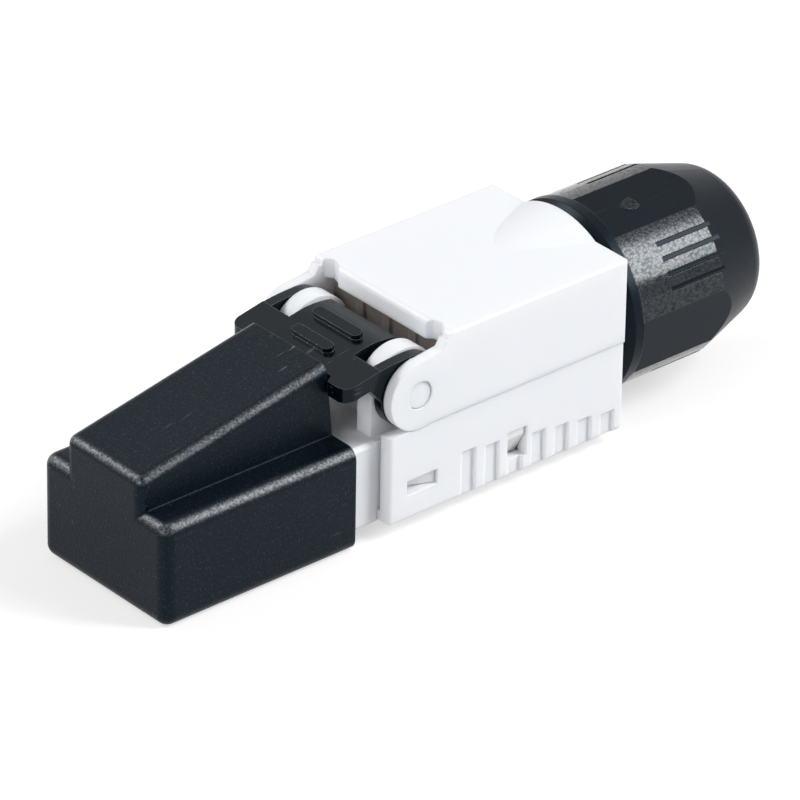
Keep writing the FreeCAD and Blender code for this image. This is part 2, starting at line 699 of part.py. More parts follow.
def make_circuit_board():
    """Circuit board between the plug contacts and the wire terminals."""
    board = doc.addObject("Part::Box", "circuit_board")
    board.Label = "circuit_board"
    start = nose_front + s.contact_setback
    board.setExpression("Length", (terminal_rear - start).text)
    board.setExpression("Width", (board_half * 2).text)
    board.setExpression("Height", s.board_thickness.text)
    board.setExpression("Placement.Base.x", (start - total_length / 2).text)
    board.setExpression("Placement.Base.y", (-board_half).text)
    board.setExpression("Placement.Base.z", (s.board_height + s.cap_drop).text)
    return board


def make_plug_contacts():
    """The gold contacts, which stand in the nose's slots under the circuit board."""
    contacts = []
    for number in range(2 * PAIRS):
        body = new_body("plug_contact_%d" % (number + 1))
        middle = contact_place(number)
        sketch = new_sketch(body, "contact_profile_%d" % (number + 1), "XZ_Plane", s.contact_thickness / 2 - middle)
        front = nose_front + s.contact_setback
        rear = front + s.contact_length
        edge = nose_bottom + s.contact_recess
        add_outline(sketch, [
            (front, s.board_height),
            (front, edge + s.contact_round),
            (front + s.contact_round, edge, s.contact_round, "right"),
            (rear, edge),
            (rear, s.board_height),
        ])
        extrude(body, sketch, "contact_%d" % (number + 1), s.contact_thickness, backwards=True)
        contacts.append(body)
    return contacts


def blade_place(number):
    """Place of a blade: along the housing, and across it."""
    row, column = divmod(number, PAIRS)
    return terminal_front + s.blade_first + s.blade_row * row, blade_pitch * (column - 1.5)


def make_terminal_block():
    """Terminal block: carries the blades, and snaps into the rear windows with two legs."""
    body = new_body("terminal_block")
    half = terminal_half
    sketch = new_sketch(body, "terminal_plan", "XY_Plane", board_top)
    add_outline(sketch, rectangle(terminal_front, -half, terminal_rear, half))
    extrude(body, sketch, "terminal", terminal_top - board_top)
    leg = add_leg(body)
    snap = add_rear_snap(body)
    mirror(body, [leg, snap], "other_leg")
    sketch = new_sketch(body, "blade_slot_plan", "XY_Plane", terminal_top)
    for number in range(2 * PAIRS):
        x, y = blade_place(number)
        across = s.blade_width / 2 + s.blade_slack
        deep = s.blade_thickness / 2 + s.blade_slack
        add_outline(sketch, rectangle(x - deep, y - across, x + deep, y + across))
    extrude(body, sketch, "blade_slots", terminal_top - board_top, "Pocket")
    sketch = new_sketch(body, "wire_channel_plan", "XY_Plane", terminal_top)
    for column in range(PAIRS):
        y = blade_place(column)[1]
        across = s.wire_width / 2
        add_outline(sketch, rectangle(terminal_front - OVERRUN, y - across, terminal_rear + OVERRUN, y + across))
    extrude(body, sketch, "wire_channels", s.wire_depth, "Pocket")
    return body


def add_leg(body):
    """Adds one leg of the terminal block, which stands on the housing's floor."""
    start = housing_front + s.rear_window_start + s.snap_gap
    length = s.rear_window_length - 2 * s.snap_gap
    sketch = new_sketch(body, "leg_section", "YZ_Plane", start)
    inner = leg_outer - s.leg_thickness
    add_outline(sketch, rectangle(-leg_outer, s.housing_wall, -inner, board_top + s.leg_thickness))
    return extrude(body, sketch, "leg", length)


def add_rear_snap(body):
    """Adds one snap lug: flat on top, and tapered below."""
    start = housing_front + s.rear_window_start + s.snap_gap
    length = s.rear_window_length - 2 * s.snap_gap
    top = s.rear_window_bottom + s.rear_window_height - s.snap_gap
    bottom = s.rear_window_bottom + s.snap_gap
    root = -leg_outer + s.leg_thickness / 2
    face = -half_width + s.snap_recess
    sketch = new_sketch(body, "snap_section", "YZ_Plane", start)
    add_outline(sketch, [
        (root, bottom),
        (root, top),
        (face, top),
        (face, top - s.rear_window_height / 4),
        (-leg_outer, bottom),
    ])
    return extrude(body, sketch, "snap_lug", length)


def make_blades():
    """The insulation displacement blades, which stand on the circuit board."""
    blades = []
    for number in range(2 * PAIRS):
        body = new_body("idc_contact_%d" % (number + 1))
        x, y = blade_place(number)
        sketch = new_sketch(body, "blade_section_%d" % (number + 1), "YZ_Plane", x - s.blade_thickness / 2)
        half = s.blade_width / 2
        tip = terminal_top - s.blade_recess
        slot = s.blade_slot / 2
        mouth = s.blade_width / 4
        add_outline(sketch, [
            (y - half, board_top),
            (y + half, board_top),
            (y + half, tip - mouth),
            (y + mouth, tip),
            (y + slot, tip - mouth),
            (y + slot, tip - s.blade_slot_depth),
            (y - slot, tip - s.blade_slot_depth),
            (y - slot, tip - mouth),
            (y - mouth, tip),
            (y - half, tip - mouth),
        ])
        extrude(body, sketch, "blade_%d" % (number + 1), s.blade_thickness)
        blades.append(body)
    return blades


def make_top_cover():
    """Top cover: ears on the hinge pins, a front lip, a rear bulge and an arch over the neck."""
    body = new_body("top_cover")
    sketch = new_sketch(body, "cover_profile", "XZ_Plane")
    radius = s.ear_radius
    foot = (radius * radius - (pin_z - cover_bottom) * (pin_z - cover_bottom)).root()
    step = pin_x + s.step_start
    add_outline(sketch, [
        (pin_x + foot, cover_bottom),
        (housing_rear, cover_bottom),
        (housing_rear, cover_height),
        (step + s.step_length, cover_height),
        (step, pin_z + radius + s.ear_climb),
        (pin_x, pin_z + radius),
        (pin_x - radius, pin_z, radius, "right"),
        (pin_x, pin_z - radius, radius, "right"),
        (pin_x + foot, cover_bottom, radius, "right"),
    ][1:])
    cover = extrude(body, sketch, "cover", s.housing_width, symmetric=True)
    dress(
        body, cover, "cover_edges", "Fillet", s.cover_edge,
        lambda edge: near(abs(edge.CenterOfMass.y), half_width)
        and (near(edge.CenterOfMass.z, cover_height) or near(edge.CenterOfMass.x, housing_rear)),
    )
    add_bulge(body)
    front = cover_front
    cut_cover_front(body, front)
    sketch = new_sketch(body, "cover_cavity_plan", "XY_Plane", cover_bottom - OVERRUN)
    notch = front + s.notch_length
    add_outline(sketch, rectangle(notch, -inner_half, housing_rear - s.housing_wall, inner_half))
    depth = cover_ceiling - cover_bottom + OVERRUN
    extrude(body, sketch, "cover_cavity", depth, "Pocket", backwards=True)
    sketch = new_sketch(body, "lip_cavity_plan", "XY_Plane", cover_bottom - OVERRUN)
    add_outline(sketch, rectangle(front - OVERRUN, -ear_inner, notch + OVERRUN, ear_inner))
    extrude(body, sketch, "lip_cavity", depth - (s.lip_depth - s.housing_wall), "Pocket", backwards=True)
    add_arch(body)
    sketch = new_sketch(body, "pin_hole_profile", "XZ_Plane")
    add_circle(sketch, pin_x, pin_z, s.pin_radius + s.pin_fit)
    extrude(body, sketch, "pin_holes", s.housing_width + 2 * OVERRUN, "Pocket", symmetric=True)
    return body


def add_bulge(body):
    """Adds the conical bulge that runs out into the cover's flat top."""
    start = housing_rear - s.bulge_length
    flat = cover_height - gland_height
    root = flat - s.housing_wall / 2
    sketch = new_sketch(body, "bulge_profile", "XZ_Plane")
    sketch.setExpression("AttachmentOffset.Base.y", gland_height.text)
    add_outline(sketch, [
        (start, root),
        (housing_rear, root),
        (housing_rear, half_width + s.bulge_rise),
        (start, flat),
    ])
    turn(body, sketch, "bulge", angle=BULGE_ANGLE, symmetric=True)



def cut_cover_front(body, front):
    """Cuts away the cover between its ears, which leaves the front lip and two notches."""
    sketch = new_sketch(body, "lip_plan", "XY_Plane", cover_bottom - s.ear_radius)
    half = ear_inner - s.lip_side_gap
    corner = s.lip_corner
    notch = front + s.notch_depth
    root = front + s.notch_side
    outside = pin_x - s.ear_radius - OVERRUN
    add_outline(sketch, [
        (outside, -ear_inner),
        (root, -ear_inner),
        (notch, -half - s.notch_apex),
        (front + corner, -half),
        (front, -half + corner),
        (front, half - corner),
        (front + corner, half),
        (notch, half + s.notch_apex),
        (root, ear_inner),
        (outside, ear_inner),
    ])
    height = cover_height - cover_bottom + s.ear_radius + half_width
    extrude(body, sketch, "lip_cut", height, "Pocket", backwards=True)
    sketch = new_sketch(body, "lip_round_profile", "XZ_Plane")
    root = cover_height - s.lip_round
    add_outline(sketch, [
        (front - OVERRUN, root),
        (front, root),
        (front + s.lip_round, cover_height, s.lip_round, "left"),
        (front + s.lip_round, cover_height + OVERRUN),
        (front - OVERRUN, cover_height + OVERRUN),
    ])
    extrude(body, sketch, "lip_round_cut", s.housing_width + 2 * OVERRUN, "Pocket", symmetric=True)


def add_arch(body):
    """Cuts the arch through which the gland neck passes."""
    radius = neck_radius + s.neck_clearance
    sketch = new_sketch(body, "arch_section", "YZ_Plane", bulkhead_rear - s.neck_clearance)
    add_outline(sketch, [
        (-radius, cover_bottom - OVERRUN),
        (radius, cover_bottom - OVERRUN),
        (radius, gland_height),
        (0, gland_height + radius, radius, "right"),
        (-radius, gland_height, radius, "right"),
    ])
    extrude(body, sketch, "arch", housing_rear - bulkhead_rear + OVERRUN, "Pocket", backwards=True)


def make_wire_manager():
    """Wire manager: presses the wires onto the blades when the cover closes."""
    body = new_body("wire_manager")
    front = housing_front + s.manager_front
    half = inner_half - s.manager_side_gap
    bottom = terminal_top + s.manager_gap
    channel = s.wire_width / 2
    corners = [(-half, cover_ceiling), (-half, bottom)]
    for column in range(PAIRS):
        y = blade_place(column)[1]
        corners += [
            (y - channel, bottom),
            (y - channel, bottom + s.wire_width),
            (y + channel, bottom + s.wire_width),
            (y + channel, bottom),
        ]
    corners += [(half, bottom), (half, cover_ceiling)]
    sketch = new_sketch(body, "manager_section", "YZ_Plane", front)
    add_outline(sketch, corners)
    extrude(body, sketch, "manager", s.manager_length)
    add_apron(body, front, half)
    return body


def add_apron(body, front, half):
    """Adds the ribbed apron, which hangs in front of the terminal block."""
    apron = housing_front + s.apron_setback
    inner = apron + s.apron_thickness
    bottom = terminal_top - s.apron_reach
    lip_bottom = cover_height - s.lip_depth
    sketch = new_sketch(body, "apron_profile", "XZ_Plane")
    add_outline(sketch, [
        (apron, bottom),
        (inner, bottom),
        (inner, lip_bottom - s.apron_roof),
        (front, lip_bottom - s.apron_roof),
        (front, cover_ceiling),
        (cover_front + s.notch_length, cover_ceiling),
        (cover_front + s.notch_length, lip_bottom),
        (apron, lip_bottom),
    ])
    extrude(body, sketch, "apron", half * 2, symmetric=True)
    sketch = new_sketch(body, "rib_plan", "XY_Plane", bottom)
    for column in range(PAIRS - 1):
        y = blade_pitch * (column - 1)
        add_outline(sketch, rectangle(apron - s.rib_depth, y - s.rib_width / 2, inner, y + s.rib_width / 2))
    extrude(body, sketch, "ribs", lip_bottom - bottom)


def make_latch_lever():
    """Latch lever: the tongue, the lobed plate, the slotted saddle and the two cheeks."""
    body = new_body("latch_lever")
    sketch = new_sketch(body, "lever_profile", "XZ_Plane")
    inner_radius = s.saddle_radius - s.lever_thickness
    shift = s.lever_thickness * s.lever_slope
    end_top = pin_z + s.lever_end_rise
    add_outline(sketch, [
        (s.tongue_start, lever_top(s.tongue_start) - s.tongue_tip),
        (s.tongue_waist_end, lever_top(s.tongue_waist_end) - s.lever_thickness),
        (s.lever_bend + shift, lever_top(s.lever_bend) - s.lever_thickness),
        (s.lever_end - shift, end_top - s.lever_thickness, inner_radius, "left"),
        (s.lever_end, end_top),
        (s.lever_bend, lever_top(s.lever_bend), s.saddle_radius, "right"),
        (s.tongue_start, lever_top(s.tongue_start)),
    ])
    extrude(body, sketch, "lever_plate", lever_half * 2 + 2 * OVERRUN, symmetric=True)
    trim_lever_plan(body)
    cheek = add_cheek(body)
    mirror(body, [cheek], "other_cheek")
    add_bar(body, "front", s.front_bar_start, (slot_inner - s.front_bar_margin) * 2)
    add_bar(body, "rear", s.rear_bar_start, (slot_inner - s.rear_bar_margin) * 2)
    sketch = new_sketch(body, "cheek_hole_profile", "XZ_Plane")
    add_circle(sketch, pin_x, pin_z, s.pin_radius + s.pin_fit)
    extrude(body, sketch, "cheek_holes", lever_half * 2 + 2 * OVERRUN, "Pocket", symmetric=True)
    return body


def trim_lever_plan(body):
    """Trims the lever's plate to its plan: tongue, waist, lobes and slots."""
    half = lever_half
    waist = s.tongue_waist / 2
    lobe_front = s.lever_root - s.lobe_lead
    lobe_inner = half - s.lobe_width
    wide = lobe_inner - s.lobe_gap
    flare_end = s.tongue_waist_end + s.tongue_flare
    right_side = [
        (s.tongue_start, wide - waist / 2),
        (s.tongue_start + waist / 2, wide),
        (s.tongue_shoulder, wide),
        (s.tongue_shoulder, waist),
        (s.tongue_waist_end, waist),
        (flare_end, wide),
        (s.lever_root, wide),
        (s.lever_root, lobe_inner - s.lobe_lead / 2),
        (lobe_front, lobe_inner),
        (lobe_front, half - s.lobe_round),
        (lobe_front + s.lobe_round, half, s.lobe_round, "arc"),
        (s.slot_start, half),
        (s.slot_start, slot_inner),
        (s.lever_end + OVERRUN, slot_inner),
    ]
    corners = []
    for corner in right_side:
        place = (corner[0], -corner[1])
        corners.append(place + (corner[2], "right") if len(corner) > 2 else place)
    arc_next = None
    for corner in reversed(right_side):
        place = (corner[0], corner[1])
        corners.append(place + (arc_next, "right") if arc_next is not None else place)
        arc_next = corner[2] if len(corner) > 2 else None
    sketch = new_sketch(body, "lever_plan", "XY_Plane")
    margin = 2 * OVERRUN
    add_outline(sketch, rectangle(s.tongue_start - margin, -half - margin, s.lever_end + margin, half + margin))
    add_outline(sketch, corners)
    extrude(body, sketch, "lever_trim", 3 * (pin_z + s.lever_rise), "Pocket", symmetric=True)


def add_cheek(body):
    """Adds one cheek, which turns on the hinge pin between the lug and the cover's ear."""
    radius = cheek_radius
    rise = pin_z + radius
    bend_run = pin_x - s.cheek_bend
    bend_rise = rise - lever_top(s.cheek_bend)
    bend_radius = (bend_run * bend_run + bend_rise * bend_rise) / (2 * bend_rise)
    under = lever_top(s.lever_root) - s.lever_thickness / 2
    sketch = new_sketch(body, "cheek_profile", "XZ_Plane", cheek_inner)
    add_outline(sketch, [
        (s.lever_root + s.lobe_lead, under),
        (s.cheek_bend, lever_top(s.cheek_bend) - s.lever_thickness),
        (pin_x - radius, pin_z),
        (pin_x, pin_z - radius, radius, "right"),
        (pin_x + radius, pin_z, radius, "right"),
        (pin_x, rise, radius, "right"),
        (s.cheek_bend, lever_top(s.cheek_bend), bend_radius, "right"),
        (s.lever_root + s.lobe_lead, lever_top(s.lever_root + s.lobe_lead)),
    ])
    return extrude(body, sketch, "cheek", s.cheek_thickness)


def add_bar(body, name, start, length):
    """Adds one grip bar with round ends, square to the sloping plate."""
    tilt = math.degrees(math.atan(s.lever_slope.value))
    middle = start + s.bar_width / 2
    sketch = new_sketch(body, name + "_bar_plan", "XY_Plane")
    sketch.AttachmentOffset = FreeCAD.Placement(
        FreeCAD.Vector(0, 0, 0), FreeCAD.Rotation(FreeCAD.Vector(0, 1, 0), -tilt)
    )
    sketch.setExpression("AttachmentOffset.Base.x", middle.text)
    sketch.setExpression("AttachmentOffset.Base.z", (lever_top(middle) - s.bar_rise).text)
    half = s.bar_width / 2
    straight = length / 2 - half
    add_outline(sketch, [
        (-half, straight),
        (-half, -straight),
        (0, -straight - half, half, "right"),
        (half, -straight, half, "right"),
        (half, straight),
        (0, straight + half, half, "right"),
        (-half, straight, half, "right"),
    ][1:])
    extrude(body, sketch, name + "_bar", 2 * s.bar_rise)


def make_dust_cap():
    """Dust cap: a box over the nose with a raised, sloping roof over the latch tongue."""
    shell = new_body("cap_box")
    sketch = new_sketch(shell, "cap_section", "YZ_Plane")
    half = cap_half
    add_outline(sketch, rectangle(-half, -s.cap_drop, half, cap_shoulder))
    box = extrude(shell, sketch, "cap_block", s.cap_length)
    dress(
        shell, box, "cap_edges", "Fillet", s.cap_edge,
        lambda edge: along(edge, "x") or near(edge.CenterOfMass.x, 0),
    )
    roof = new_body("cap_roof")
    sketch = new_sketch(roof, "roof_profile", "XZ_Plane")
    hidden = cap_shoulder - 2 * s.cap_edge
    rear_top = s.cap_length - s.cap_roof_lean
    add_outline(sketch, [
        (0, hidden),
        (s.cap_length, hidden),
        (s.cap_length, cap_shoulder),
        (rear_top, roof_front + s.cap_roof_slope * rear_top),
        (0, roof_front),
    ])
    ridge = extrude(roof, sketch, "roof_block", s.cap_roof_width, symmetric=True)
    rounded = dress(
        roof, ridge, "roof_edges", "Fillet", s.cap_roof_edge,
        lambda edge: (near(edge.CenterOfMass.x, 0) and edge.CenterOfMass.z > hidden.value + 0.1)
        or (edge.CenterOfMass.z > roof_front.value and not along(edge, "y")
            and near(edge.CenterOfMass.x, rear_top / 2)),
    )
    roof.Tip = rounded
    hollow = new_body("cap_hollow")
    sketch = new_sketch(hollow, "hollow_section", "YZ_Plane", s.nose_setback - s.cap_gap)
    inner = nose_half + s.cap_gap
    add_outline(sketch, rectangle(-inner, nose_bottom - s.cap_gap, inner, nose_top + s.cap_gap))
    extrude(hollow, sketch, "hollow", s.cap_length)
    sketch = new_sketch(hollow, "roof_hollow_profile", "XZ_Plane")
    start = s.nose_setback - s.cap_gap
    end = s.cap_length + OVERRUN
    ceiling = roof_front - s.cap_wall
    add_outline(sketch, [
        (start, s.board_height),
        (end, s.board_height),
        (end, ceiling + s.cap_roof_slope * end),
        (start, ceiling + s.cap_roof_slope * start),
    ])
    extrude(hollow, sketch, "roof_hollow", s.cap_roof_width - 2 * s.cap_roof_wall, symmetric=True)
    joined = doc.addObject("Part::MultiFuse", "cap_outside")
    joined.Shapes = [shell, roof]
    cap = doc.addObject("Part::Cut", "dust_cap")
    cap.Label = "dust_cap"
    cap.Base = joined
    cap.Tool = hollow
    doc.recompute()
    return cap


def make_gland_nut():
    """Gland nut: barrel with flats and slotted grip sectors, rear cone and cable hole."""
    body = new_body("gland_nut", gland_height)
    rise = 1 + s.nut_cone_slope * s.nut_cone_slope
    lean = s.nut_cone_slope / rise.root()
    level = 1 / rise.root()
    end = total_length
    round_end = nut_radius - s.nut_cone_slope * (s.nut_cone_length - s.nut_round * (1 - lean))
    collar = nut_radius + s.nut_collar_rise
    thread = neck_radius + s.nut_thread_gap
    sketch = new_sketch(body, "nut_profile", "XZ_Plane")
    add_outline(sketch, [
        (nut_front, thread),
        (nut_front + s.nut_thread_length, thread),
        (nut_front + s.nut_thread_length, nut_seat),
        (end - s.nut_seat_back, nut_seat),
        (end - s.nut_lip, nut_hole),
        (end, nut_hole),
        (end, round_end - s.nut_round * level),
        (end - s.nut_round * (1 - lean), round_end, s.nut_round, "right"),
        (end - s.nut_cone_length, nut_radius),
        (nut_front + s.nut_collar, nut_radius),
        (nut_front + s.nut_collar, collar),
        (nut_front + s.nut_chamfer, collar),
        (nut_front, collar - s.nut_chamfer),
    ])
    turn(body, sketch, "nut")
    facet = add_facet(body)
    facets = repeat_round(body, [facet], "facets", s.facet_count)
    slots = add_ridge_slots(body, facets)
    repeat_round(body, [slots], "ridge_slots_round", s.facet_count)
    return body


def turned(u, v, angle):
    """A point of a section, turned about the gland's axis."""
    return u * angle.cosine() - v * angle.sine(), u * angle.sine() + v * angle.cosine()


def add_facet(body):
    """Cuts one flat, which runs out into the rear cone in a round end."""
    depth = nut_radius * s.facet_half_angle.cosine()
    half = nut_radius * s.facet_half_angle.sine() + s.nut_collar_rise
    outside = nut_radius + OVERRUN
    sketch = new_sketch(body, "facet_section", "YZ_Plane", nut_front + s.nut_collar)
    corners = rectangle(-half, depth, half, outside)
    add_outline(sketch, [turned(as_dim(u), as_dim(v), s.facet_turn) for u, v in corners])
    return extrude(body, sketch, "facet", s.nut_length, "Pocket", backwards=True)


def add_ridge_slots(body, base):
    """Cuts the slots of one grip sector, which stay open towards the rear cone."""
    body.Tip = base
    outside = nut_radius + OVERRUN
    half = s.ridge_slot_width / 2
    sector = s.facet_turn + 180 / s.facet_count
    sketch = new_sketch(body, "ridge_slot_section", "YZ_Plane", nut_front + s.ridge_slot_start)
    for number in range(4):
        angle = sector + s.ridge_slot_angle * (number - 1.5)
        depth = s.ridge_slot_depth if number in (1, 2) else s.ridge_side_depth
        corners = rectangle(-half, nut_radius - depth, half, outside)
        add_outline(sketch, [turned(as_dim(u), as_dim(v), angle) for u, v in corners])
    return extrude(body, sketch, "ridge_slots", s.nut_length, "Pocket", backwards=True)


def make_clamp_collet():
    """Clamp collet: a ring of fingers that the nut's cone presses onto the cable."""
    body = new_body("clamp_collet", gland_height)
    shank_end = collet_start + s.collet_shank
    shank = neck_bore - s.collet_fit
    radius = nut_seat - s.collet_gap
    sketch = new_sketch(body, "collet_profile", "XZ_Plane")
    add_outline(sketch, [
        (collet_start, collet_bore),
        (collet_end, collet_bore),
        (collet_end, radius - s.collet_taper),
        ((shank_end + collet_end) / 2, radius),
        (shank_end, radius),
        (shank_end, shank),
        (collet_start, shank),
    ])
    turn(body, sketch, "collet")
    sketch = new_sketch(body, "slit_section", "YZ_Plane", collet_end + OVERRUN)
    half = s.collet_slit / 2
    add_outline(sketch, rectangle(-half, collet_bore - OVERRUN, half, radius + OVERRUN))
    slit = extrude(body, sketch, "slit", collet_end - shank_end + OVERRUN - s.collet_slit, "Pocket")
    repeat_round(body, [slit], "slits", s.collet_fingers)
    return body


def make_cable_seal():
    """Cable seal: a soft sleeve inside the collet."""
    body = new_body("cable_seal", gland_height)
    start = housing_rear + s.seal_start
    end = collet_end - s.seal_back
    outside = collet_bore - s.seal_fit
    sketch = new_sketch(body, "seal_profile", "XZ_Plane")
    add_outline(sketch, rectangle(start, outside - s.seal_wall, end, outside))
    turn(body, sketch, "seal")
    return body


parts = [
    make_lower_housing(),
    make_plug_body(),
    make_circuit_board(),
    make_terminal_block(),
    make_top_cover(),
    make_wire_manager(),
    make_latch_lever(),
    make_dust_cap(),
    make_gland_nut(),
    make_clamp_collet(),
    make_cable_seal(),
]
parts += make_plug_contacts()
parts += make_blades()
doc.recompute()

for item in doc.Objects:
    if "Invalid" in item.State or "Error" in item.State:
        raise RuntimeError("%s did not build: %s" % (item.Name, item.State))
for part in parts:
    if part.Shape.isNull() or not part.Shape.isValid() or not part.Shape.Solids:
        raise RuntimeError("%s has no valid solid" % part.Label)

os.makedirs("parts", exist_ok=True)
for part in parts:
    part.Shape.exportStep("parts/%s.step" % part.Label)
    box = part.Shape.BoundBox
    print("%-18s %9.2f mm3  x %.2f..%.2f  y %.2f..%.2f  z %.2f..%.2f" % (
        part.Label, part.Shape.Volume, box.XMin, box.XMax, box.YMin, box.YMax, box.ZMin, box.ZMax))
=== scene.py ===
"""Looks of the field termination ethernet plug: finishes, moulding details, studio and camera.

Every length is in metres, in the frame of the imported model: +X runs from the plug nose back to the
gland nut, +Z up through the top cover, and the floor is at z = 0.
"""

import logging
import math
from dataclasses import dataclass, field
from enum import Enum

import bmesh
import bpy
from mathutils import Matrix, Vector


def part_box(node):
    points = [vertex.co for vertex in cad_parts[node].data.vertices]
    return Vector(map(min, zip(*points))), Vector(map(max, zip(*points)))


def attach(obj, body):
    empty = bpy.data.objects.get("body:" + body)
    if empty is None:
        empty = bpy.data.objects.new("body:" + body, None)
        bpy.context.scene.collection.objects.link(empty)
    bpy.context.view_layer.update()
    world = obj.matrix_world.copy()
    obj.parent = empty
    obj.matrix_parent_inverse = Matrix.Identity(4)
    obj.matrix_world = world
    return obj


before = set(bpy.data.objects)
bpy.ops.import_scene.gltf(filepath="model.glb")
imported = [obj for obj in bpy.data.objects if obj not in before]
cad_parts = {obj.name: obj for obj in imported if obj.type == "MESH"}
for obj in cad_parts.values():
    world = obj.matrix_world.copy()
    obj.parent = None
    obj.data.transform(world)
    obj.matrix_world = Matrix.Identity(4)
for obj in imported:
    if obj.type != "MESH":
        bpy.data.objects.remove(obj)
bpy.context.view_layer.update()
log = logging.getLogger("plug")

Point = tuple[float, float, float]
Colour = tuple[float, float, float]
NodeSocket = bpy.types.NodeSocket
Signal = float | NodeSocket
Levels = tuple[float, float]

# Height of the axis that the neck, the nut, the collet and the seal share
GLAND_AXIS = 0.0081
# Pitch of the eight contacts and of the board's tracks
CONTACT_PITCH = 0.00102


class Body(Enum):
    """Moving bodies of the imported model."""

    HOUSING = "housing"
    COVER = "cover"
    LEVER = "lever"
    CAP = "cap"
    CLAMP = "clamp"
    NUT = "nut"


class Effect(Enum):
    """Shader effects that several finishes share."""

    EDGE = "moulded edge"
    GRAIN = "spark grain"
    SCUFF = "scuffs"
    DRIFT = "tone drift"
    BAND = "band along the plug"


# Node tools


class Tree:
    """A thin helper over one node tree."""

    def __init__(self, tree: bpy.types.NodeTree) -> None:
        """Wraps the tree that nodes are added to."""
        self.tree = tree

    def node(self, kind: str, **settings: object) -> bpy.types.Node:
        """Adds a node.

        Args:
            kind: The node's type name.
            settings: Attributes of the node to set.

        Returns:
            The new node.
        """
        made = self.tree.nodes.new(kind)
        for name, value in settings.items():
            setattr(made, name, value)
        return made

    def link(self, source: NodeSocket, target: NodeSocket) -> None:
        """Joins two sockets."""
        self.tree.links.new(source, target)

    def put(self, target: NodeSocket, value: Signal | tuple[float, ...]) -> None:
        """Sets a socket to a value, or joins it to another socket.

        Args:
            target: The input socket.
            value: A number, a colour or an output socket.
        """
        if isinstance(value, NodeSocket):
            self.link(value, target)
        else:
            target.default_value = value

    def math(
        self, operation: str, first: Signal, second: Signal = 0.0, clamp: bool = False
    ) -> NodeSocket:
        """Adds a Math node.

        Args:
            operation: The name of the operation.
            first: The first value or socket.
            second: The second value or socket.
            clamp: Whether the result is held between 0 and 1.

        Returns:
            The result.
        """
        made = self.node("ShaderNodeMath", operation=operation, use_clamp=clamp)
        self.put(made.inputs[0], first)
        self.put(made.inputs[1], second)
        return made.outputs[0]

    def ramp(self, value: NodeSocket, low: Signal, high: Signal) -> NodeSocket:
        """Maps a value smoothly from low..high to 0..1.

        Args:
            value: The value to map.
            low: Where the result starts to rise.
            high: Where the result reaches 1.

        Returns:
            The mapped value.
        """
        made = self.node("ShaderNodeMapRange", interpolation_type="SMOOTHSTEP")
        self.put(made.inputs["Value"], value)
        self.put(made.inputs["From Min"], low)
        self.put(made.inputs["From Max"], high)
        return made.outputs["Result"]

    def mix(
        self, factor: Signal, first: Colour | NodeSocket, second: Colour | NodeSocket
    ) -> NodeSocket:
        """Mixes two colours.

        Args:
            factor: How much of the second colour shows.
            first: The first colour.
            second: The second colour.

        Returns:
            The mixed colour.
        """
        made = self.node("ShaderNodeMix", data_type="RGBA")
        self.put(made.inputs[0], factor)
        for number, colour in ((6, first), (7, second)):
            self.put(made.inputs[number], colour if isinstance(colour, NodeSocket) else (*colour, 1.0))
        return made.outputs[2]

    def place(self) -> NodeSocket:
        """Gives the place on the piece, in its own space."""
        return self.node("ShaderNodeTexCoord").outputs["Object"]

    def split(self, vector: NodeSocket) -> dict[str, NodeSocket]:
        """Splits a place or a direction.

        Args:
            vector: The place or direction.

        Returns:
            Its X, Y and Z.
        """
        made = self.node("ShaderNodeSeparateXYZ")
        self.link(vector, made.inputs[0])
        return {axis: made.outputs[axis] for axis in ("X", "Y", "Z")}

    def bump(
        self,
        height: NodeSocket,
        distance: float = 1.0,
        strength: float = 1.0,
        normal: NodeSocket | None = None,
    ) -> NodeSocket:
        """Adds a Bump node.

        Args:
            height: The height that makes the relief.
            distance: The metres that a height of 1 stands for.
            strength: How much of the relief shows.
            normal: The normal below the relief, or none for the surface's own.

        Returns:
            The normal with the relief.
        """
        made = self.node("ShaderNodeBump")
        made.inputs["Strength"].default_value = strength
        made.inputs["Distance"].default_value = distance
        self.link(height, made.inputs["Height"])
        if normal is not None:
            self.link(normal, made.inputs["Normal"])
        return made.outputs[0]

    def noise(
        self, vector: NodeSocket, scale: Signal, detail: float = 2.0, rough: float = 0.5
    ) -> NodeSocket:
        """Adds a Noise texture.

        Args:
            vector: The place socket.
            scale: Waves for each metre.
            detail: Octaves of noise.
            rough: Strength of the finer octaves.

        Returns:
            The noise value.
        """
        made = self.node("ShaderNodeTexNoise")
        self.link(vector, made.inputs["Vector"])
        self.put(made.inputs["Scale"], scale)
        made.inputs["Detail"].default_value = detail
        made.inputs["Roughness"].default_value = rough
        return made.outputs[0]


def start_material(name: str) -> tuple[bpy.types.Material, Tree, bpy.types.Node]:
    """Starts a material.

    Args:
        name: The material's name.

    Returns:
        The material, its tree and its Principled shader.
    """
    material = bpy.data.materials.new(name)
    material.use_nodes = True
    return material, Tree(material.node_tree), material.node_tree.nodes["Principled BSDF"]


@dataclass(frozen=True)
class Port:
    """An input or an output of an effect."""

    name: str
    kind: str = "NodeSocketFloat"
    value: float | None = None


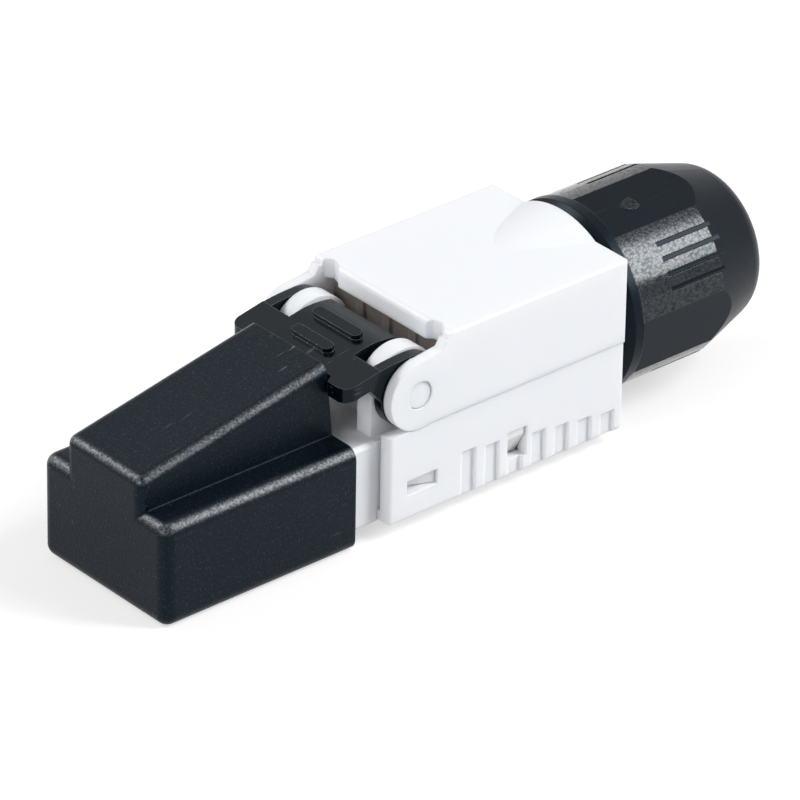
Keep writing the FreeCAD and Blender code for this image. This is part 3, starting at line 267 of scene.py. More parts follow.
@dataclass
class EffectShelf:
    """Builds each shared effect once, and places it in materials.

    A pair of levels says where a noise starts to count, and where it counts in full. rag_waves is in
    waves for each metre, and fine_waves and patch_waves are in waves for each wave of the main noise.
    """

    bevel_samples: int = 6
    rag_waves: float = 1800.0
    rag_depth: float = 0.2
    edge_bend: float = 0.14
    grain_rough: float = 0.6
    fine_waves: float = 2.7
    fine_share: float = 0.35
    tip_level: float = 0.60
    tip_drop: float = 0.08
    tip_soft: float = 0.07
    scratch_turns: tuple[float, ...] = (0.5, -0.9)
    scratch_lean: tuple[float, float] = (0.2, 0.3)
    scratch_stretch: Point = (0.35, 9.0, 5.0)
    scratch_levels: Levels = (0.68, 0.73)
    patch_levels: Levels = (0.48, 0.68)
    smudge_levels: Levels = (0.4, 0.7)
    scuff_rough: float = 0.55
    patch_waves: float = 0.7
    groups: dict[Effect, bpy.types.NodeTree] = field(default_factory=dict)

    def open(
        self, effect: Effect, ins: list[Port], outs: list[Port]
    ) -> tuple[Tree, bpy.types.Node, bpy.types.Node]:
        """Starts the node group of an effect.

        Args:
            effect: The effect.
            ins: Its inputs.
            outs: Its outputs.

        Returns:
            The tree, its input node and its output node.
        """
        group = bpy.data.node_groups.new(effect.value, "ShaderNodeTree")
        for way, sockets in (("INPUT", ins), ("OUTPUT", outs)):
            for socket in sockets:
                made = group.interface.new_socket(name=socket.name, in_out=way, socket_type=socket.kind)
                if socket.value is not None:
                    made.default_value = socket.value
        tree = Tree(group)
        self.groups[effect] = group
        return tree, tree.node("NodeGroupInput"), tree.node("NodeGroupOutput")

    def place(self, tree: Tree, effect: Effect, **values: Signal) -> bpy.types.Node:
        """Places an effect in a material.

        Args:
            tree: The material's tree.
            effect: The effect to place.
            values: Input values or sockets, each by the input's name.

        Returns:
            The group node.
        """
        if effect not in self.groups:
            self.build(effect)
        made = tree.node("ShaderNodeGroup", node_tree=self.groups[effect])
        for name, value in values.items():
            tree.put(made.inputs[name], value)
        return made

    def build(self, effect: Effect) -> None:
        """Builds the node group of an effect.

        Args:
            effect: The effect.
        """
        builders = {
            Effect.EDGE: self.build_edge,
            Effect.GRAIN: self.build_grain,
            Effect.SCUFF: self.build_scuff,
            Effect.DRIFT: self.build_drift,
            Effect.BAND: self.build_band,
        }
        builders[effect]()

    def build_edge(self) -> None:
        """Soft moulded edges: a mask that is 1 on an edge, which the finishes use to paint a highlight
        along the edges and to make them glossier, and the rounded normal.
        """
        tree, ins, outs = self.open(
            Effect.EDGE,
            [Port("Radius", value=0.0002), Port("Break", value=0.3)],
            [Port("Mask"), Port("Normal", "NodeSocketVector")],
        )
        bevel = tree.node("ShaderNodeBevel", samples=self.bevel_samples)
        tree.link(ins.outputs["Radius"], bevel.inputs["Radius"])
        geometry = tree.node("ShaderNodeNewGeometry")
        dot = tree.node("ShaderNodeVectorMath", operation="DOT_PRODUCT")
        tree.link(bevel.outputs[0], dot.inputs[0])
        tree.link(geometry.outputs["Normal"], dot.inputs[1])
        bend = tree.math("SUBTRACT", 1.0, dot.outputs["Value"])
        rag = tree.math("MULTIPLY", tree.noise(tree.place(), self.rag_waves, 3.0), ins.outputs["Break"])
        # Edge mask broken up by noise: it paints the highlight along the edges and makes them glossier.
        worn = tree.math("SUBTRACT", bend, tree.math("MULTIPLY", rag, self.rag_depth))
        tree.link(tree.ramp(worn, 0.0, self.edge_bend), outs.inputs["Mask"])
        tree.link(bevel.outputs[0], outs.inputs["Normal"])

    def build_grain(self) -> None:
        """Spark-eroded grain: a height, and a mask of its bright tips."""
        tree, ins, outs = self.open(
            Effect.GRAIN,
            [Port("Size", value=0.0001), Port("Tips", value=0.5)],
            [Port("Height"), Port("Tip")],
        )
        place = tree.place()
        scale = tree.math("DIVIDE", 1.0, ins.outputs["Size"])
        coarse = tree.noise(place, scale, 2.0, self.grain_rough)
        fine = tree.noise(place, tree.math("MULTIPLY", scale, self.fine_waves), 2.0, self.grain_rough)
        base = tree.math("MULTIPLY", coarse, 1.0 - self.fine_share)
        both = tree.math("ADD", base, tree.math("MULTIPLY", fine, self.fine_share))
        tree.link(both, outs.inputs["Height"])
        drop = tree.math("MULTIPLY", ins.outputs["Tips"], self.tip_drop)
        lowest = tree.math("SUBTRACT", self.tip_level, drop)
        tree.link(tree.ramp(both, lowest, tree.math("ADD", lowest, self.tip_soft)), outs.inputs["Tip"])

    def build_scuff(self) -> None:
        """Handling marks: fine short scratches and smudged patches."""
        tree, ins, outs = self.open(
            Effect.SCUFF,
            [Port("Amount", value=0.5), Port("Size", value=0.004)],
            [Port("Scratch"), Port("Smudge")],
        )
        place = tree.place()
        scale = tree.math("DIVIDE", 1.0, ins.outputs["Size"])
        lines: Signal = 0.0
        for turn in self.scratch_turns:
            spin = tree.node("ShaderNodeMapping")
            spin.inputs["Rotation"].default_value = (*self.scratch_lean, turn)
            spin.inputs["Scale"].default_value = self.scratch_stretch
            tree.link(place, spin.inputs["Vector"])
            streak = tree.noise(spin.outputs[0], scale, 2.0, self.scuff_rough)
            lines = tree.math("MAXIMUM", lines, tree.ramp(streak, *self.scratch_levels))
        patch = tree.noise(place, tree.math("MULTIPLY", scale, self.patch_waves), 3.0, self.scuff_rough)
        kept = tree.math("MULTIPLY", lines, tree.ramp(patch, *self.patch_levels))
        tree.link(tree.math("MULTIPLY", kept, ins.outputs["Amount"]), outs.inputs["Scratch"])
        smudge = tree.math("MULTIPLY", tree.ramp(patch, *self.smudge_levels), ins.outputs["Amount"])
        tree.link(smudge, outs.inputs["Smudge"])

    def build_drift(self) -> None:
        """Slow change of tone over a moulding."""
        tree, ins, outs = self.open(
            Effect.DRIFT,
            [Port("Size", value=0.01), Port("Depth", value=0.1)],
            [Port("Tone")],
        )
        slow = tree.noise(tree.place(), tree.math("DIVIDE", 1.0, ins.outputs["Size"]), 3.0)
        swing = tree.math("MULTIPLY", tree.math("SUBTRACT", slow, 0.5), ins.outputs["Depth"])
        tree.link(tree.math("ADD", swing, 0.5, clamp=True), outs.inputs["Tone"])

    def build_band(self) -> None:
        """A band along the plug: 1 from its start to its end, with soft borders."""
        tree, ins, outs = self.open(
            Effect.BAND,
            [Port("Start", value=0.0), Port("End", value=0.01), Port("Soft", value=0.001)],
            [Port("Mask")],
        )
        along = tree.split(tree.place())["X"]
        soft = ins.outputs["Soft"]
        rise = tree.ramp(along, tree.math("SUBTRACT", ins.outputs["Start"], soft), ins.outputs["Start"])
        fall = tree.ramp(along, ins.outputs["End"], tree.math("ADD", ins.outputs["End"], soft))
        tree.link(tree.math("SUBTRACT", rise, fall, clamp=True), outs.inputs["Mask"])


# Finishes


@dataclass(frozen=True)
class Relief:
    """The fine relief that a mould leaves on its plastic."""

    size: float = 0.00016
    depth: float = 0.00001
    tips: float = 0.2
    tip_light: float = 0.05


@dataclass(frozen=True)
class Moulding:
    """A moulded plastic or rubber finish."""

    name: str
    colour: Colour
    light: Colour
    dark: Colour
    roughness: float
    relief: Relief = Relief()
    specular: float = 0.5
    tint: Colour = (1.0, 1.0, 1.0)
    edge_break: float = 0.4
    edge_radius: float = 0.00015
    # Share of the light colour painted along the edges as a painted highlight.
    edge_highlight: float = 0.25
    scuff: float = 0.3
    scuff_light: float = 0.2
    scuff_size: float = 0.004
    worn_band: tuple[float, float] | None = None
    worn_soft: float = 0.0008
    worn_gloss: float = 0.12
    least_roughness: float = 0.08
    drift_size: float = 0.009
    drift_depth: float = 0.5
    subsurface: float = 0.0
    subsurface_radius: Point = (0.0012, 0.001, 0.0009)
    rim_coat: float = 0.0
    coat_roughness: float = 0.35
    coat_ior: float = 1.5
    spark_levels: Levels = (0.30, 0.66)
    flat_levels: Levels = (0.84, 0.99)
    upward_levels: Levels = (0.10, 0.45)

    def build(self, shelf: EffectShelf) -> bpy.types.Material:
        """Builds the finish's material.

        Args:
            shelf: The shared effects.

        Returns:
            The material.
        """
        material, tree, shader = start_material(self.name)
        edge = shelf.place(tree, Effect.EDGE, Radius=self.edge_radius, Break=self.edge_break)
        drift = shelf.place(tree, Effect.DRIFT, Size=self.drift_size, Depth=self.drift_depth)
        scratch, smudge = self.handling(tree, shelf)
        height, tip, gloss, coat = self.surface(tree, shelf)
        base = tree.mix(drift.outputs["Tone"], self.dark, self.colour)
        # Painted highlight: the edge mask lightens the base colour towards the light colour along every
        # edge.
        rim = tree.math("MULTIPLY", edge.outputs["Mask"], self.edge_highlight)
        mark = tree.math("MULTIPLY", scratch, self.scuff_light)
        bright = tree.math("MAXIMUM", tree.math("MAXIMUM", tip, rim), mark)
        tree.put(shader.inputs["Base Color"], tree.mix(bright, base, self.light))
        worn = tree.math("MULTIPLY", tree.math("MAXIMUM", edge.outputs["Mask"], smudge), self.worn_gloss)
        rough = tree.math("SUBTRACT", tree.math("SUBTRACT", self.roughness, gloss), worn)
        tree.put(shader.inputs["Roughness"], tree.math("MAXIMUM", rough, self.least_roughness))
        tree.link(tree.bump(height, normal=edge.outputs["Normal"]), shader.inputs["Normal"])
        tree.put(shader.inputs["Coat Weight"], coat)
        shader.inputs["Coat Roughness"].default_value = self.coat_roughness
        shader.inputs["Coat IOR"].default_value = self.coat_ior
        shader.inputs["Specular IOR Level"].default_value = self.specular
        shader.inputs["Specular Tint"].default_value = (*self.tint, 1.0)
        if self.subsurface:
            shader.inputs["Subsurface Weight"].default_value = self.subsurface
            shader.inputs["Subsurface Radius"].default_value = self.subsurface_radius
            shader.inputs["Subsurface Scale"].default_value = 1.0
        return material

    def handling(self, tree: Tree, shelf: EffectShelf) -> tuple[NodeSocket, NodeSocket]:
        """Places the handling marks, which are denser in the worn band.

        Args:
            tree: The material's tree.
            shelf: The shared effects.

        Returns:
            The masks of the scratches and of the smudges.
        """
        amount: Signal = self.scuff
        if self.worn_band is not None:
            start, end = self.worn_band
            band = shelf.place(tree, Effect.BAND, Start=start, End=end, Soft=self.worn_soft)
            amount = tree.math("ADD", self.scuff, band.outputs["Mask"])
        scuff = shelf.place(tree, Effect.SCUFF, Amount=amount, Size=self.scuff_size)
        return scuff.outputs["Scratch"], scuff.outputs["Smudge"]

    def surface(self, tree: Tree, shelf: EffectShelf) -> tuple[NodeSocket, NodeSocket, Signal, Signal]:
        """Places the relief.

        Args:
            tree: The material's tree.
            shelf: The shared effects.

        Returns:
            The height in metres, the mask of its bright tips, how much the gloss rises, and the coat.
        """
        grain = shelf.place(tree, Effect.GRAIN, Size=self.relief.size, Tips=self.relief.tips)
        height = tree.math("MULTIPLY", grain.outputs["Height"], self.relief.depth)
        coat: Signal = 0.0
        if self.rim_coat:
            spark = tree.ramp(grain.outputs["Height"], *self.spark_levels)
            coat = tree.math("MULTIPLY", tree.math("MULTIPLY", self.rounding(tree), spark), self.rim_coat)
        return height, tree.math("MULTIPLY", grain.outputs["Tip"], self.relief.tip_light), 0.0, coat

    def rounding(self, tree: Tree) -> NodeSocket:
        """Finds the upper rounded edges, where fingers leave the plastic glossier.

        Args:
            tree: The material's tree.

        Returns:
            0 on the faces square to the plug, and 1 on the upper roundings between them.
        """
        way = tree.split(tree.node("ShaderNodeTexCoord").outputs["Normal"])
        widest: Signal = 0.0
        for reach in way.values():
            widest = tree.math("MAXIMUM", widest, tree.math("ABSOLUTE", reach))
        bent = tree.math("SUBTRACT", 1.0, tree.ramp(widest, *self.flat_levels))
        return tree.math("MULTIPLY", bent, tree.ramp(way["Z"], *self.upward_levels))


@dataclass(frozen=True)
class GripMoulding(Moulding):
    """The gland nut's plastic: satin flats and cone, with glossy hide-like grip sectors between.

    Angles are in degrees round the nut's axis.
    """

    axis_height: float = GLAND_AXIS
    barrel_radius: float = 0.00704
    slot_wall: float = 0.00005
    facet_angle: float = 103.5
    facet_pitch: float = 90.0
    facet_half: float = 19.0
    facet_soft: float = 0.3
    grip_start: float = 0.0143
    grip_end: float = 0.0217
    grip_soft: float = 0.00015
    grip_coat: float = 1.0
    grip_gloss: float = 0.13
    dimple_size: float = 0.00017
    dimple_depth: float = 0.000014
    dimple_stretch: Point = (0.75, 1.0, 1.0)
    dimple_smoothness: float = 0.6
    dimple_coat: float = 1.15
    dimple_coat_fall: float = 1.1

    def surface(self, tree: Tree, shelf: EffectShelf) -> tuple[NodeSocket, NodeSocket, Signal, Signal]:
        """Places the fine relief, and the dimples of the grip sectors.

        Args:
            tree: The material's tree.
            shelf: The shared effects.

        Returns:
            The height in metres, the mask of its bright tips, how much the gloss rises, and the coat.
        """
        fine, tip, _, _ = super().surface(tree, shelf)
        place = tree.place()
        grip = self.grip(tree, shelf, place)
        stretch = tree.node("ShaderNodeMapping")
        stretch.inputs["Scale"].default_value = self.dimple_stretch
        tree.link(place, stretch.inputs["Vector"])
        cells = tree.node("ShaderNodeTexVoronoi", feature="SMOOTH_F1")
        tree.link(stretch.outputs[0], cells.inputs["Vector"])
        cells.inputs["Scale"].default_value = 1.0 / self.dimple_size
        cells.inputs["Smoothness"].default_value = self.dimple_smoothness
        reach = cells.outputs["Distance"]
        dimple = tree.math("MULTIPLY", reach, self.dimple_depth)
        height = tree.math("ADD", fine, tree.math("MULTIPLY", dimple, grip))
        calm = tree.math("MULTIPLY", tip, tree.math("SUBTRACT", 1.0, grip))
        fall = tree.math("MULTIPLY", reach, self.dimple_coat_fall)
        hollow = tree.math("SUBTRACT", self.dimple_coat, fall, clamp=True)
        coat = tree.math("MULTIPLY", tree.math("MULTIPLY", grip, hollow), self.grip_coat)
        return height, calm, tree.math("MULTIPLY", grip, self.grip_gloss), coat

    def grip(self, tree: Tree, shelf: EffectShelf, place: NodeSocket) -> NodeSocket:
        """Finds the grip sectors, outside the slots and between the smooth facets.

        Args:
            tree: The material's tree.
            shelf: The shared effects.
            place: The place on the nut.

        Returns:
            1 on the grip sectors, and 0 elsewhere.
        """
        spot = tree.split(place)
        above = tree.math("SUBTRACT", spot["Z"], self.axis_height)
        angle = tree.math("ARCTAN2", above, spot["Y"])
        turned = tree.math("SUBTRACT", angle, math.radians(self.facet_angle))
        off_facet = tree.math("PINGPONG", turned, math.radians(self.facet_pitch / 2))
        border = (self.facet_half - self.facet_soft, self.facet_half + self.facet_soft)
        sector = tree.ramp(off_facet, math.radians(border[0]), math.radians(border[1]))
        band = shelf.place(
            tree, Effect.BAND, Start=self.grip_start, End=self.grip_end, Soft=self.grip_soft
        )
        across = tree.math("POWER", spot["Y"], 2.0)
        radius = tree.math("SQRT", tree.math("ADD", across, tree.math("POWER", above, 2.0)))
        wall = self.barrel_radius - self.slot_wall
        outside = tree.ramp(radius, wall - self.slot_wall, wall)
        return tree.math("MULTIPLY", tree.math("MULTIPLY", sector, band.outputs["Mask"]), outside)


@dataclass(frozen=True)
class Plating:
    """A plated metal finish with fine draw lines."""

    name: str
    colour: Colour
    tarnish: Colour
    roughness: float
    drift_size: float = 0.0015
    drift_depth: float = 1.4
    scuff: float = 0.8
    scuff_size: float = 0.0012
    scratch_rough: float = 0.25
    scratch_depth: float = 0.000003
    scratch_strength: float = 0.3

    def build(self, shelf: EffectShelf) -> bpy.types.Material:
        """Builds the finish's material.

        Args:
            shelf: The shared effects.

        Returns:
            The material.
        """
        material, tree, shader = start_material(self.name)
        drift = shelf.place(tree, Effect.DRIFT, Size=self.drift_size, Depth=self.drift_depth)
        scuff = shelf.place(tree, Effect.SCUFF, Amount=self.scuff, Size=self.scuff_size)
        scratch = scuff.outputs["Scratch"]
        tree.link(tree.mix(drift.outputs["Tone"], self.tarnish, self.colour), shader.inputs["Base Color"])
        shader.inputs["Metallic"].default_value = 1.0
        streak = tree.math("MULTIPLY", scratch, self.scratch_rough)
        tree.link(tree.math("ADD", self.roughness, streak), shader.inputs["Roughness"])
        relief = tree.bump(scratch, self.scratch_depth, self.scratch_strength)
        tree.link(relief, shader.inputs["Normal"])
        return material


@dataclass(frozen=True)
class SolderMask:
    """A circuit board's lacquer over copper tracks.

    The tracks' levels are shares of their pitch, and their sway goes by radians for each metre.
    """

    name: str = "solder mask"
    lacquer: Colour = (0.012, 0.13, 0.055)
    shade: Colour = (0.008, 0.09, 0.04)
    track: Colour = (0.03, 0.27, 0.11)
    pitch: float = CONTACT_PITCH
    track_levels: Levels = (0.22, 0.27)
    track_rise: float = 0.00003
    track_strength: float = 0.6
    sway_rate: float = 520.0
    sway: float = 0.00035
    drift_size: float = 0.004
    drift_depth: float = 0.6
    roughness: float = 0.32
    coat: float = 0.4

    def build(self, shelf: EffectShelf) -> bpy.types.Material:
        """Builds the board's material.

        Args:
            shelf: The shared effects.

        Returns:
            The material.
        """
        material, tree, shader = start_material(self.name)
        spot = tree.split(tree.place())
        wave = tree.math("SINE", tree.math("MULTIPLY", spot["X"], self.sway_rate))
        bent = tree.math("ADD", spot["Y"], tree.math("MULTIPLY", wave, self.sway))
        lane = tree.math("PINGPONG", bent, self.pitch / 2)
        track = tree.ramp(lane, *(self.pitch * level for level in self.track_levels))
        drift = shelf.place(tree, Effect.DRIFT, Size=self.drift_size, Depth=self.drift_depth)
        lacquer = tree.mix(drift.outputs["Tone"], self.shade, self.lacquer)
        tree.link(tree.mix(track, lacquer, self.track), shader.inputs["Base Color"])
        shader.inputs["Roughness"].default_value = self.roughness
        shader.inputs["Coat Weight"].default_value = self.coat
        relief = tree.bump(track, self.track_rise, self.track_strength)
        tree.link(relief, shader.inputs["Normal"])
        return material


HOUSING_WHITE = Moulding(
    name="housing white",
    colour=(0.87, 0.885, 0.915), light=(0.95, 0.96, 0.98), dark=(0.84, 0.855, 0.89),
    roughness=0.34, relief=Relief(0.00022, 0.0000012, 0.1, 0.03), specular=0.4,
    edge_radius=0.00012, edge_highlight=0.5, scuff=0.15, scuff_light=0.04, subsurface=0.45,
)
BLOCK_WHITE = Moulding(
    name="terminal block white",
    colour=(0.84, 0.845, 0.85), light=(0.93, 0.93, 0.93), dark=(0.80, 0.80, 0.80),
    roughness=0.38, relief=Relief(0.0002, 0.0000012, 0.1, 0.03), specular=0.4,
    edge_highlight=0.4, scuff=0.1, scuff_light=0.04, subsurface=0.1,
)
CAP_BLACK = Moulding(
    name="cap black",
    colour=(0.0010, 0.0036, 0.0078), light=(0.40, 0.45, 0.49), dark=(0.0004, 0.0025, 0.0054),
    roughness=0.40, relief=Relief(0.00016, 0.000024, 0.5, 0.05), specular=0.16, tint=(0.64, 0.83, 1.0),
    edge_radius=0.0002, edge_highlight=0.006, scuff=0.15, scuff_light=0.7, worn_band=(-0.0135, -0.0108),
    rim_coat=1.0, coat_roughness=0.42, coat_ior=1.75,
)
LEVER_BLACK = Moulding(
    name="lever black",
    colour=(0.0010, 0.0026, 0.0045), light=(0.30, 0.33, 0.36), dark=(0.0005, 0.0016, 0.0030),
    roughness=0.19, relief=Relief(0.0003, 0.000004, 0.1, 0.02), specular=0.22, tint=(0.66, 0.85, 1.0),
    edge_break=0.05, edge_radius=0.00006, edge_highlight=0.40,
    scuff=0.30, scuff_light=0.5, worn_band=(-0.0118, -0.0098),
    rim_coat=1.0, coat_roughness=0.22,
)
NUT_BLACK = GripMoulding(
    name="nut black",
    colour=(0.0018, 0.0036, 0.0078), light=(0.12, 0.14, 0.16), dark=(0.0008, 0.0028, 0.0052),
    roughness=0.33, relief=Relief(0.00018, 0.000010, 0.4, 0.04), specular=0.14, tint=(0.64, 0.83, 1.0),
    edge_radius=0.00012, edge_highlight=0.06, scuff=0.35, scuff_light=0.2, coat_roughness=0.16,
)
GATE_SCAR = Moulding(
    name="torn gate black",
    colour=(0.004, 0.007, 0.010), light=(0.22, 0.25, 0.28), dark=(0.002, 0.004, 0.006),
    roughness=0.36, relief=Relief(0.00020, 0.00006, 0.5, 0.12), specular=0.3, tint=(0.8, 0.94, 1.0),
    edge_radius=0.00005, edge_highlight=0.2, scuff=0.6, scuff_light=0.1,
)
MANAGER_BROWN = Moulding(
    name="wire manager brown",
    colour=(0.26, 0.225, 0.20), light=(0.55, 0.50, 0.46), dark=(0.17, 0.145, 0.13),
    roughness=0.45, edge_highlight=0.4, scuff=0.2,
)
COLLET_GREY = Moulding(
    name="collet grey",
    colour=(0.20, 0.205, 0.21), light=(0.4, 0.41, 0.42), dark=(0.15, 0.155, 0.16),
    roughness=0.45, edge_highlight=0.3, scuff=0.2,
)
SEAL_RUBBER = Moulding(
    name="seal rubber",
    colour=(0.022, 0.022, 0.023), light=(0.07, 0.07, 0.07), dark=(0.014, 0.014, 0.015),
    roughness=0.7, relief=Relief(0.00018, 0.000012, 0.3, 0.05), specular=0.3,
    edge_highlight=0.2, scuff=0.1,
)
CONTACT_GOLD = Plating("contact gold", (0.90, 0.66, 0.27), (0.70, 0.45, 0.16), 0.22)
BLADE_TIN = Plating("blade tin", (0.70, 0.69, 0.66), (0.5, 0.48, 0.45), 0.3)
BOARD_GREEN = SolderMask()

Finish = Moulding | Plating | SolderMask


@dataclass
class Workshop:
    """Dresses the CAD nodes and adds the pieces that only the looks need."""

    shelf: EffectShelf
    made: dict[str, bpy.types.Material] = field(default_factory=dict)

    def material(self, finish: Finish) -> bpy.types.Material:
        """Builds a finish once.

        Args:
            finish: The finish.

        Returns:
            Its material.
        """
        if finish.name not in self.made:
            self.made[finish.name] = finish.build(self.shelf)
        return self.made[finish.name]

    def dress(self, node: str, finish: Finish) -> None:
        """Puts a finish into the material slots of a CAD node.

        Args:
            node: The node's name.
            finish: The finish.
        """
        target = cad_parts[node]
        material = self.material(finish)
        if not target.material_slots:
            target.data.materials.append(material)
        for slot in target.material_slots:
            slot.material = material
        log.info("dressed %s in %s", node, finish.name)

    def add(self, name: str, build: bmesh.types.BMesh, body: Body, slot: str, finish: Finish) -> None:
        """Adds a piece that rides on a body.

        Args:
            name: The piece's name.
            build: Its mesh data, which is freed.
            body: The body it rides on.
            slot: Not used.
            finish: Its finish.
        """
        piece = make_piece(name, build)
        piece.data.materials.append(self.material(finish))
        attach(piece, body.value)
        log.info("added %s with %d faces", name, len(piece.data.polygons))


def make_piece(name: str, build: bmesh.types.BMesh) -> bpy.types.Object:
    """Turns mesh data into an object of the scene.

    Args:
        name: The piece's name.
        build: The mesh data, which is freed.

    Returns:
        The object.
    """
    mesh = bpy.data.meshes.new(name)
    bmesh.ops.recalc_face_normals(build, faces=build.faces)
    build.to_mesh(mesh)
    build.free()
    for face in mesh.polygons:
        face.use_smooth = True
    piece = bpy.data.objects.new(name, mesh)
    bpy.context.scene.collection.objects.link(piece)
    return piece


def sweep(build: bmesh.types.BMesh, rings: list[list[Point]], closed: bool) -> None:
    """Skins a row of equal rings of points.

    Args:
        build: The mesh data that gets the skin.
        rings: The rings, each with as many points.
        closed: Whether the last ring joins the first. Open rows get flat ends.
    """
    rows = [[build.verts.new(point) for point in ring] for ring in rings]
    count = len(rows[0])
    pairs = list(zip(rows, rows[1:] + rows[:1])) if closed else list(zip(rows, rows[1:]))
    for near, far in pairs:
        for index in range(count):
            following = (index + 1) % count
            build.faces.new((near[index], near[following], far[following], far[index]))
    if not closed:
        build.faces.new(rows[0][::-1])
        build.faces.new(rows[-1])


def ring_about(
    build: bmesh.types.BMesh,
    centre: Point,
    normal: Point,
    radius: float,
    section: list[tuple[float, float]],
    segments: int = 32,
) -> None:
    """Turns a closed section round an axis.

    Args:
        build: The mesh data that gets the ring.
        centre: The ring's centre.
        normal: The axis's direction.
        radius: The radius that the section's first values add to.
        section: Points of the section: outwards, and along the axis.
        segments: How many steps the ring has.
    """
    axis = Vector(normal).normalized()
    side = axis.orthogonal().normalized()
    other = axis.cross(side)
    rings = []
    for step in range(segments):
        angle = 2 * math.pi * step / segments
        out = side * math.cos(angle) + other * math.sin(angle)
        rings.append([
            tuple(Vector(centre) + out * (radius + reach) + axis * along)
            for reach, along in section
        ])
    sweep(build, rings, closed=True)


# Sub-assemblies


@dataclass
class DustCap:
    """The black cap over the plug nose."""

    workshop: Workshop

    def dress(self) -> None:
        """Gives the cap its sparkling spark-eroded black."""
        self.workshop.dress("dust_cap", CAP_BLACK)


@dataclass
class LatchLever:
    """The lever over the cover's front."""

    workshop: Workshop

    def dress(self) -> None:
        """Gives the lever its glossy black, scratched beside the cap."""
        self.workshop.dress("latch_lever", LEVER_BLACK)


@dataclass
class CircuitBoard:
    """The board with its vias and the gold plug contacts."""

    workshop: Workshop
    via_radius: float = 0.00022
    via_hole: float = 0.00011
    via_rise: float = 0.00003
    via_slope: float = 0.2
    via_steps: int = 20
    row_places: tuple[float, float] = (-0.0064, -0.0047)
    pitch: float = CONTACT_PITCH
    contacts: int = 8

    def build(self) -> None:
        """Adds the tinned rims of the vias in front of the terminal block."""
        build = bmesh.new()
        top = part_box("circuit_board")[1][2]
        width = self.via_radius - self.via_hole
        slope = width * self.via_slope
        section = [(0.0, 0.0), (width, 0.0), (width - slope, self.via_rise), (slope, self.via_rise)]
        for number in range(self.contacts):
            along = self.row_places[number % 2]
            across = self.pitch * (number - (self.contacts - 1) / 2)
            ring_about(build, (along, across, top), (0.0, 0.0, 1.0), self.via_hole, section, self.via_steps)
        self.workshop.add("board_vias", build, Body.HOUSING, "blade", BLADE_TIN)

    def dress(self) -> None:
        """Gives the board its solder mask and the contacts their gold."""
        self.workshop.dress("circuit_board", BOARD_GREEN)
        for number in range(1, self.contacts + 1):
            self.workshop.dress("plug_contact_%d" % number, CONTACT_GOLD)


@dataclass
class WireTerminals:
    """The terminal block with its blades, and the wire manager over them."""

    workshop: Workshop
    blades: int = 8

    def dress(self) -> None:
        """Gives the block its white, the blades their tin and the manager its brown."""
        self.workshop.dress("terminal_block", BLOCK_WHITE)
        self.workshop.dress("wire_manager", MANAGER_BROWN)
        for number in range(1, self.blades + 1):
            self.workshop.dress("idc_contact_%d" % number, BLADE_TIN)


@dataclass
class Housing:
    """The white lower housing with its threaded neck, the plug body and the hinged cover."""

    workshop: Workshop
    axis_height: float = GLAND_AXIS
    neck_radius: float = 0.0056
    thread_start: float = 0.0133
    thread_end: float = 0.0181
    thread_pitch: float = 0.0015
    thread_rise: float = 0.00008
    thread_foot: float = 0.00045
    thread_crest: float = 0.00018
    thread_sink: float = 0.00003
    taper_turns: float = 0.125
    taper_least: float = 0.05
    steps_a_turn: int = 72
    gate_place: tuple[float, float] = (0.0052, 0.0)
    gate_radius: float = 0.0006
    gate_width: float = 0.00012
    gate_slope: float = 0.00003
    gate_rise: float = 0.00005
    gate_sink: float = 0.00002

    def build(self) -> None:
        """Adds the neck's thread and the gate mark under the tray."""
        self.build_thread()
        self.build_gate()

    def build_thread(self) -> None:
        """Winds the low thread round the gland neck, tapered to nothing at both ends."""
        build = bmesh.new()
        turns = (self.thread_end - self.thread_start - self.thread_foot) / self.thread_pitch
        steps = int(turns * self.steps_a_turn)
        rings = []
        for step in range(steps + 1):
            angle = 2 * math.pi * step / self.steps_a_turn
            along = self.thread_start + self.thread_foot / 2 + self.thread_pitch * step / self.steps_a_turn
            turns_from_end = min(step, steps - step) / self.steps_a_turn
            taper = min(1.0, turns_from_end / self.taper_turns + self.taper_least)
            root = self.neck_radius - self.thread_sink
            crest = self.neck_radius + self.thread_rise * taper
            section = (
                (root, -self.thread_foot / 2), (crest, -self.thread_crest / 2),
                (crest, self.thread_crest / 2), (root, self.thread_foot / 2),
            )
            rings.append([
                (along + shift, reach * math.cos(angle), self.axis_height + reach * math.sin(angle))
                for reach, shift in section
            ])
        sweep(build, rings, closed=False)
        self.workshop.add("neck_thread", build, Body.HOUSING, "housing", HOUSING_WHITE)

    def build_gate(self) -> None:
        """Adds the low round mark where the tray's mould was filled."""
        build = bmesh.new()
        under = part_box("lower_housing")[0][2]
        section = [
            (-self.gate_width, self.gate_sink),
            (0.0, self.gate_sink),
            (-self.gate_slope, -self.gate_rise),
            (self.gate_slope - self.gate_width, -self.gate_rise),
        ]
        centre = (*self.gate_place, under)
        ring_about(build, centre, (0.0, 0.0, 1.0), self.gate_radius, section)
        self.workshop.add("tray_gate_mark", build, Body.HOUSING, "housing", HOUSING_WHITE)

    def dress(self) -> None:
        """Gives the housing's mouldings their white."""
        for node in ("lower_housing", "plug_body", "top_cover"):
            self.workshop.dress(node, HOUSING_WHITE)


@dataclass(frozen=True)
class Tear:
    """A wave round the torn gate mark, which twists from its rim to its middle."""

    depth: float
    count: int
    twist: float

    def at(self, turn: float, reach: float) -> float:
        """Gives the wave at a turn, in radians, and a reach from the middle."""
        return self.depth * math.sin(self.count * turn + self.twist * reach)


